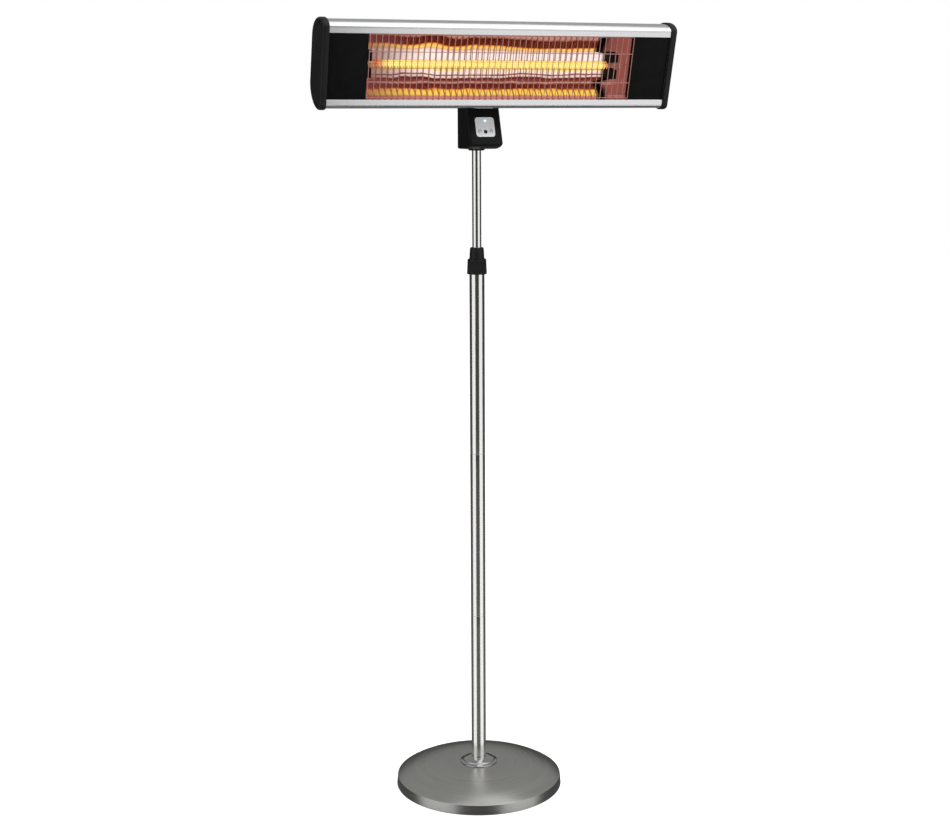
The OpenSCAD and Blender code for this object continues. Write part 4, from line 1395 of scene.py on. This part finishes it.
class HEATER_OT_guard(bpy.types.Operator):
    """Wire guard: upright wires bent back at both ends, two cross wires and two rails"""

    bl_idname = "heater.guard"
    bl_label = "Wire guard"

    def execute(self, context):
        s = sizes()
        place = head_frame()
        r = s.guard_wire
        low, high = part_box("wire_guard")
        reach = high.x - 0.8 * MM
        top, front, depth, bend = s.window_half - 1.3 * MM, -0.4 * MM, 8.8 * MM, 2.6 * MM
        rail = top - 1.3 * MM
        bm = bmesh.new()
        side = [(depth, top)]
        side += [(front + bend - bend * math.sin(math.pi / 2 * k / 6),
                  top - bend + bend * math.cos(math.pi / 2 * k / 6)) for k in range(7)]
        profile = side + [(y, -z) for y, z in reversed(side)]
        for k in range(s.guard_wires):
            x = -reach + 2 * reach * k / (s.guard_wires - 1)
            tube_along(bm, [place @ Vector((x, y, z)) for y, z in profile], r)
        for y, z in ((front + 2 * r - 0.2 * MM, 29.1 * MM), (front + 2 * r - 0.2 * MM, -29.1 * MM),
                     (6.4 * MM, rail), (6.4 * MM, -rail)):
            tube_along(bm, [place @ Vector((x, y, z)) for x in (low.x, 0, high.x)], r)
        finish_piece("guard_wires", bm, "wire_guard", 60)
        return {"FINISHED"}


class HEATER_OT_inner_parts(bpy.types.Operator):
    """Finishes of the CAD parts that show as they are"""

    bl_idname = "heater.inner_parts"
    bl_label = "Inner parts"

    def execute(self, context):
        for node, part in frame["nodes"].items():
            if part.hide_render:
                continue
            part.data.materials.clear()
            part.data.materials.append(finish(SLOT_OF[node]))
        return {"FINISHED"}


# ---------------------------------------------------------------- stage

def softbox(name, place, look_at, size, power):
    """A rectangular area light aimed at a point."""
    data = bpy.data.lights.new(name, "AREA")
    data.shape = "RECTANGLE"
    data.size, data.size_y = size
    data.energy = power
    lamp = bpy.data.objects.new(name, data)
    lamp.location = place
    lamp.rotation_euler = (Vector(look_at) - Vector(place)).to_track_quat("-Z", "Y").to_euler()
    lamp.visible_camera = False
    bpy.context.scene.collection.objects.link(lamp)


class HEATER_OT_stage(bpy.types.Operator):
    """Pale floor, soft studio light and the camera"""

    bl_idname = "heater.stage"
    bl_label = "Stage"

    def execute(self, context):
        scene = context.scene
        azimuth, distance, height = math.radians(19.889), 3.3794, 1.45939
        pan, pitch, roll = math.radians(-0.0913), math.radians(10.655), math.radians(-0.242)
        spot = Vector((-math.sin(azimuth) * distance, -math.cos(azimuth) * distance, height))
        ahead = Vector((math.sin(azimuth), math.cos(azimuth), 0))
        right = Vector((math.cos(azimuth), -math.sin(azimuth), 0))
        ahead, right = (ahead * math.cos(pan) + right * math.sin(pan),
                        right * math.cos(pan) - ahead * math.sin(pan))
        up = Vector((0, 0, 1))
        view = ahead * math.cos(pitch) - up * math.sin(pitch)
        over = up * math.cos(pitch) + ahead * math.sin(pitch)
        side = right * math.cos(roll) + over * math.sin(roll)
        over = over * math.cos(roll) - right * math.sin(roll)
        data = bpy.data.cameras.new("Camera")
        data.sensor_width = 36.0
        data.lens = 60.834
        camera = bpy.data.objects.new("Camera", data)
        camera.matrix_world = Matrix.Translation(spot) @ Matrix((side, over, -view)).transposed().to_4x4()
        scene.collection.objects.link(camera)
        scene.camera = camera

        bm = bmesh.new()
        loft(bm, [circle(r, 96) for r in (0.5, 3, 14)], caps=(True, False))
        mesh = bpy.data.meshes.new("floor")
        bm.to_mesh(mesh)
        bm.free()
        floor = bpy.data.objects.new("floor", mesh)
        f = Finish("Studio floor")
        grain = f.effect(grain_group(), Scale=60.0)
        pale = tuple(colours().floor)
        f.set("Base Color", f.mix(grain.outputs["Tone"], darker(pale, 0.995), pale))
        f.set("Roughness", 0.9)
        f.set("Emission Color", pale)
        f.set("Emission Strength", 1.0)
        mesh.materials.append(f.material)
        scene.collection.objects.link(floor)
        floor.visible_glossy = floor.visible_diffuse = False

        world = bpy.data.worlds.new("Studio")
        scene.world = world
        world.use_nodes = True
        tree = world.node_tree
        back = tree.nodes["Background"]
        split = tree.nodes.new("ShaderNodeSeparateXYZ")
        tree.links.new(tree.nodes.new("ShaderNodeTexCoord").outputs["Generated"], split.inputs[0])
        room = ((-90, 0.36), (-78, 0.36), (-70, 0.1), (-56, 0.08), (-46, 0.3), (-34, 0.3), (-26, 0.13),
                (-18, 0.1), (-8, 0.045), (4, 0.03), (12, 0.1), (18, 0.4), (60, 0.4), (90, 0.3))
        rise = math_node(tree, "MULTIPLY_ADD", split.outputs[2], 0.5, 0.5)
        light = colour_ramp(tree, rise, [((math.sin(math.radians(angle)) + 1) / 2, (level,) * 3)
                                         for angle, level in room])
        path = tree.nodes.new("ShaderNodeLightPath")
        for ray, level in (("Is Diffuse Ray", 0.3), ("Is Camera Ray", 1.0)):
            choose = tree.nodes.new("ShaderNodeMix")
            choose.data_type = "RGBA"
            tree.links.new(light, choose.inputs[6])
            choose.inputs[7].default_value = (level, level, level, 1)
            tree.links.new(path.outputs[ray], choose.inputs["Factor"])
            light = choose.outputs[2]
        tree.links.new(light, back.inputs["Color"])
        scene.view_settings.view_transform = "Standard"

        def around(angle, reach, z):
            """A place at an angle from the camera's side, seen from above."""
            a = math.radians(angle) - azimuth
            return (math.sin(a) * reach, -math.cos(a) * reach, z)

        for name, angle in (("Left softbox", -56.5), ("Right softbox", 56.5)):
            softbox(name, around(angle, 2.6, 1.1), (0, 0, 1.1), (2.7, 4.5), 32)
        softbox("Top softbox", around(40, 0.9, 3.4), (0, -0.15, 1.6), (3.0, 3.4), 33)
        return {"FINISHED"}


# ---------------------------------------------------------------- add-on

PIECES = (
    HEATER_OT_base, HEATER_OT_poles, HEATER_OT_collar, HEATER_OT_control_box, HEATER_OT_controls,
    HEATER_OT_hardware, HEATER_OT_lead, HEATER_OT_housing, HEATER_OT_end_caps, HEATER_OT_side_panels,
    HEATER_OT_reflector, HEATER_OT_lamp, HEATER_OT_guard, HEATER_OT_inner_parts, HEATER_OT_stage,
)


class HEATER_PT_sidebar(bpy.types.Panel):
    """The heater's operators and settings"""

    bl_idname = "HEATER_PT_sidebar"
    bl_label = "Patio Heater"
    bl_space_type = "VIEW_3D"
    bl_region_type = "UI"
    bl_category = "Heater"

    def draw(self, context):
        for piece in PIECES:
            self.layout.operator(piece.bl_idname)
        for group in (context.scene.heater_sizes, context.scene.heater_colours):
            box = self.layout.box()
            for key in group.__annotations__:
                box.prop(group, key)


CLASSES = (HeaterSizes, HeaterColours, *PIECES, HEATER_PT_sidebar)


def register():
    """Registers the classes and the scene's settings."""
    for cls in CLASSES:
        bpy.utils.register_class(cls)
    bpy.types.Scene.heater_sizes = PointerProperty(type=HeaterSizes)
    bpy.types.Scene.heater_colours = PointerProperty(type=HeaterColours)


def unregister():
    """Removes the settings and the classes."""
    del bpy.types.Scene.heater_colours
    del bpy.types.Scene.heater_sizes
    for cls in reversed(CLASSES):
        bpy.utils.unregister_class(cls)


def main():
    """Builds every piece and the stage."""
    register()
    for piece in PIECES:
        group, name = piece.bl_idname.split(".")
        getattr(getattr(bpy.ops, group), name)()


if __name__ == "__main__":
    main()
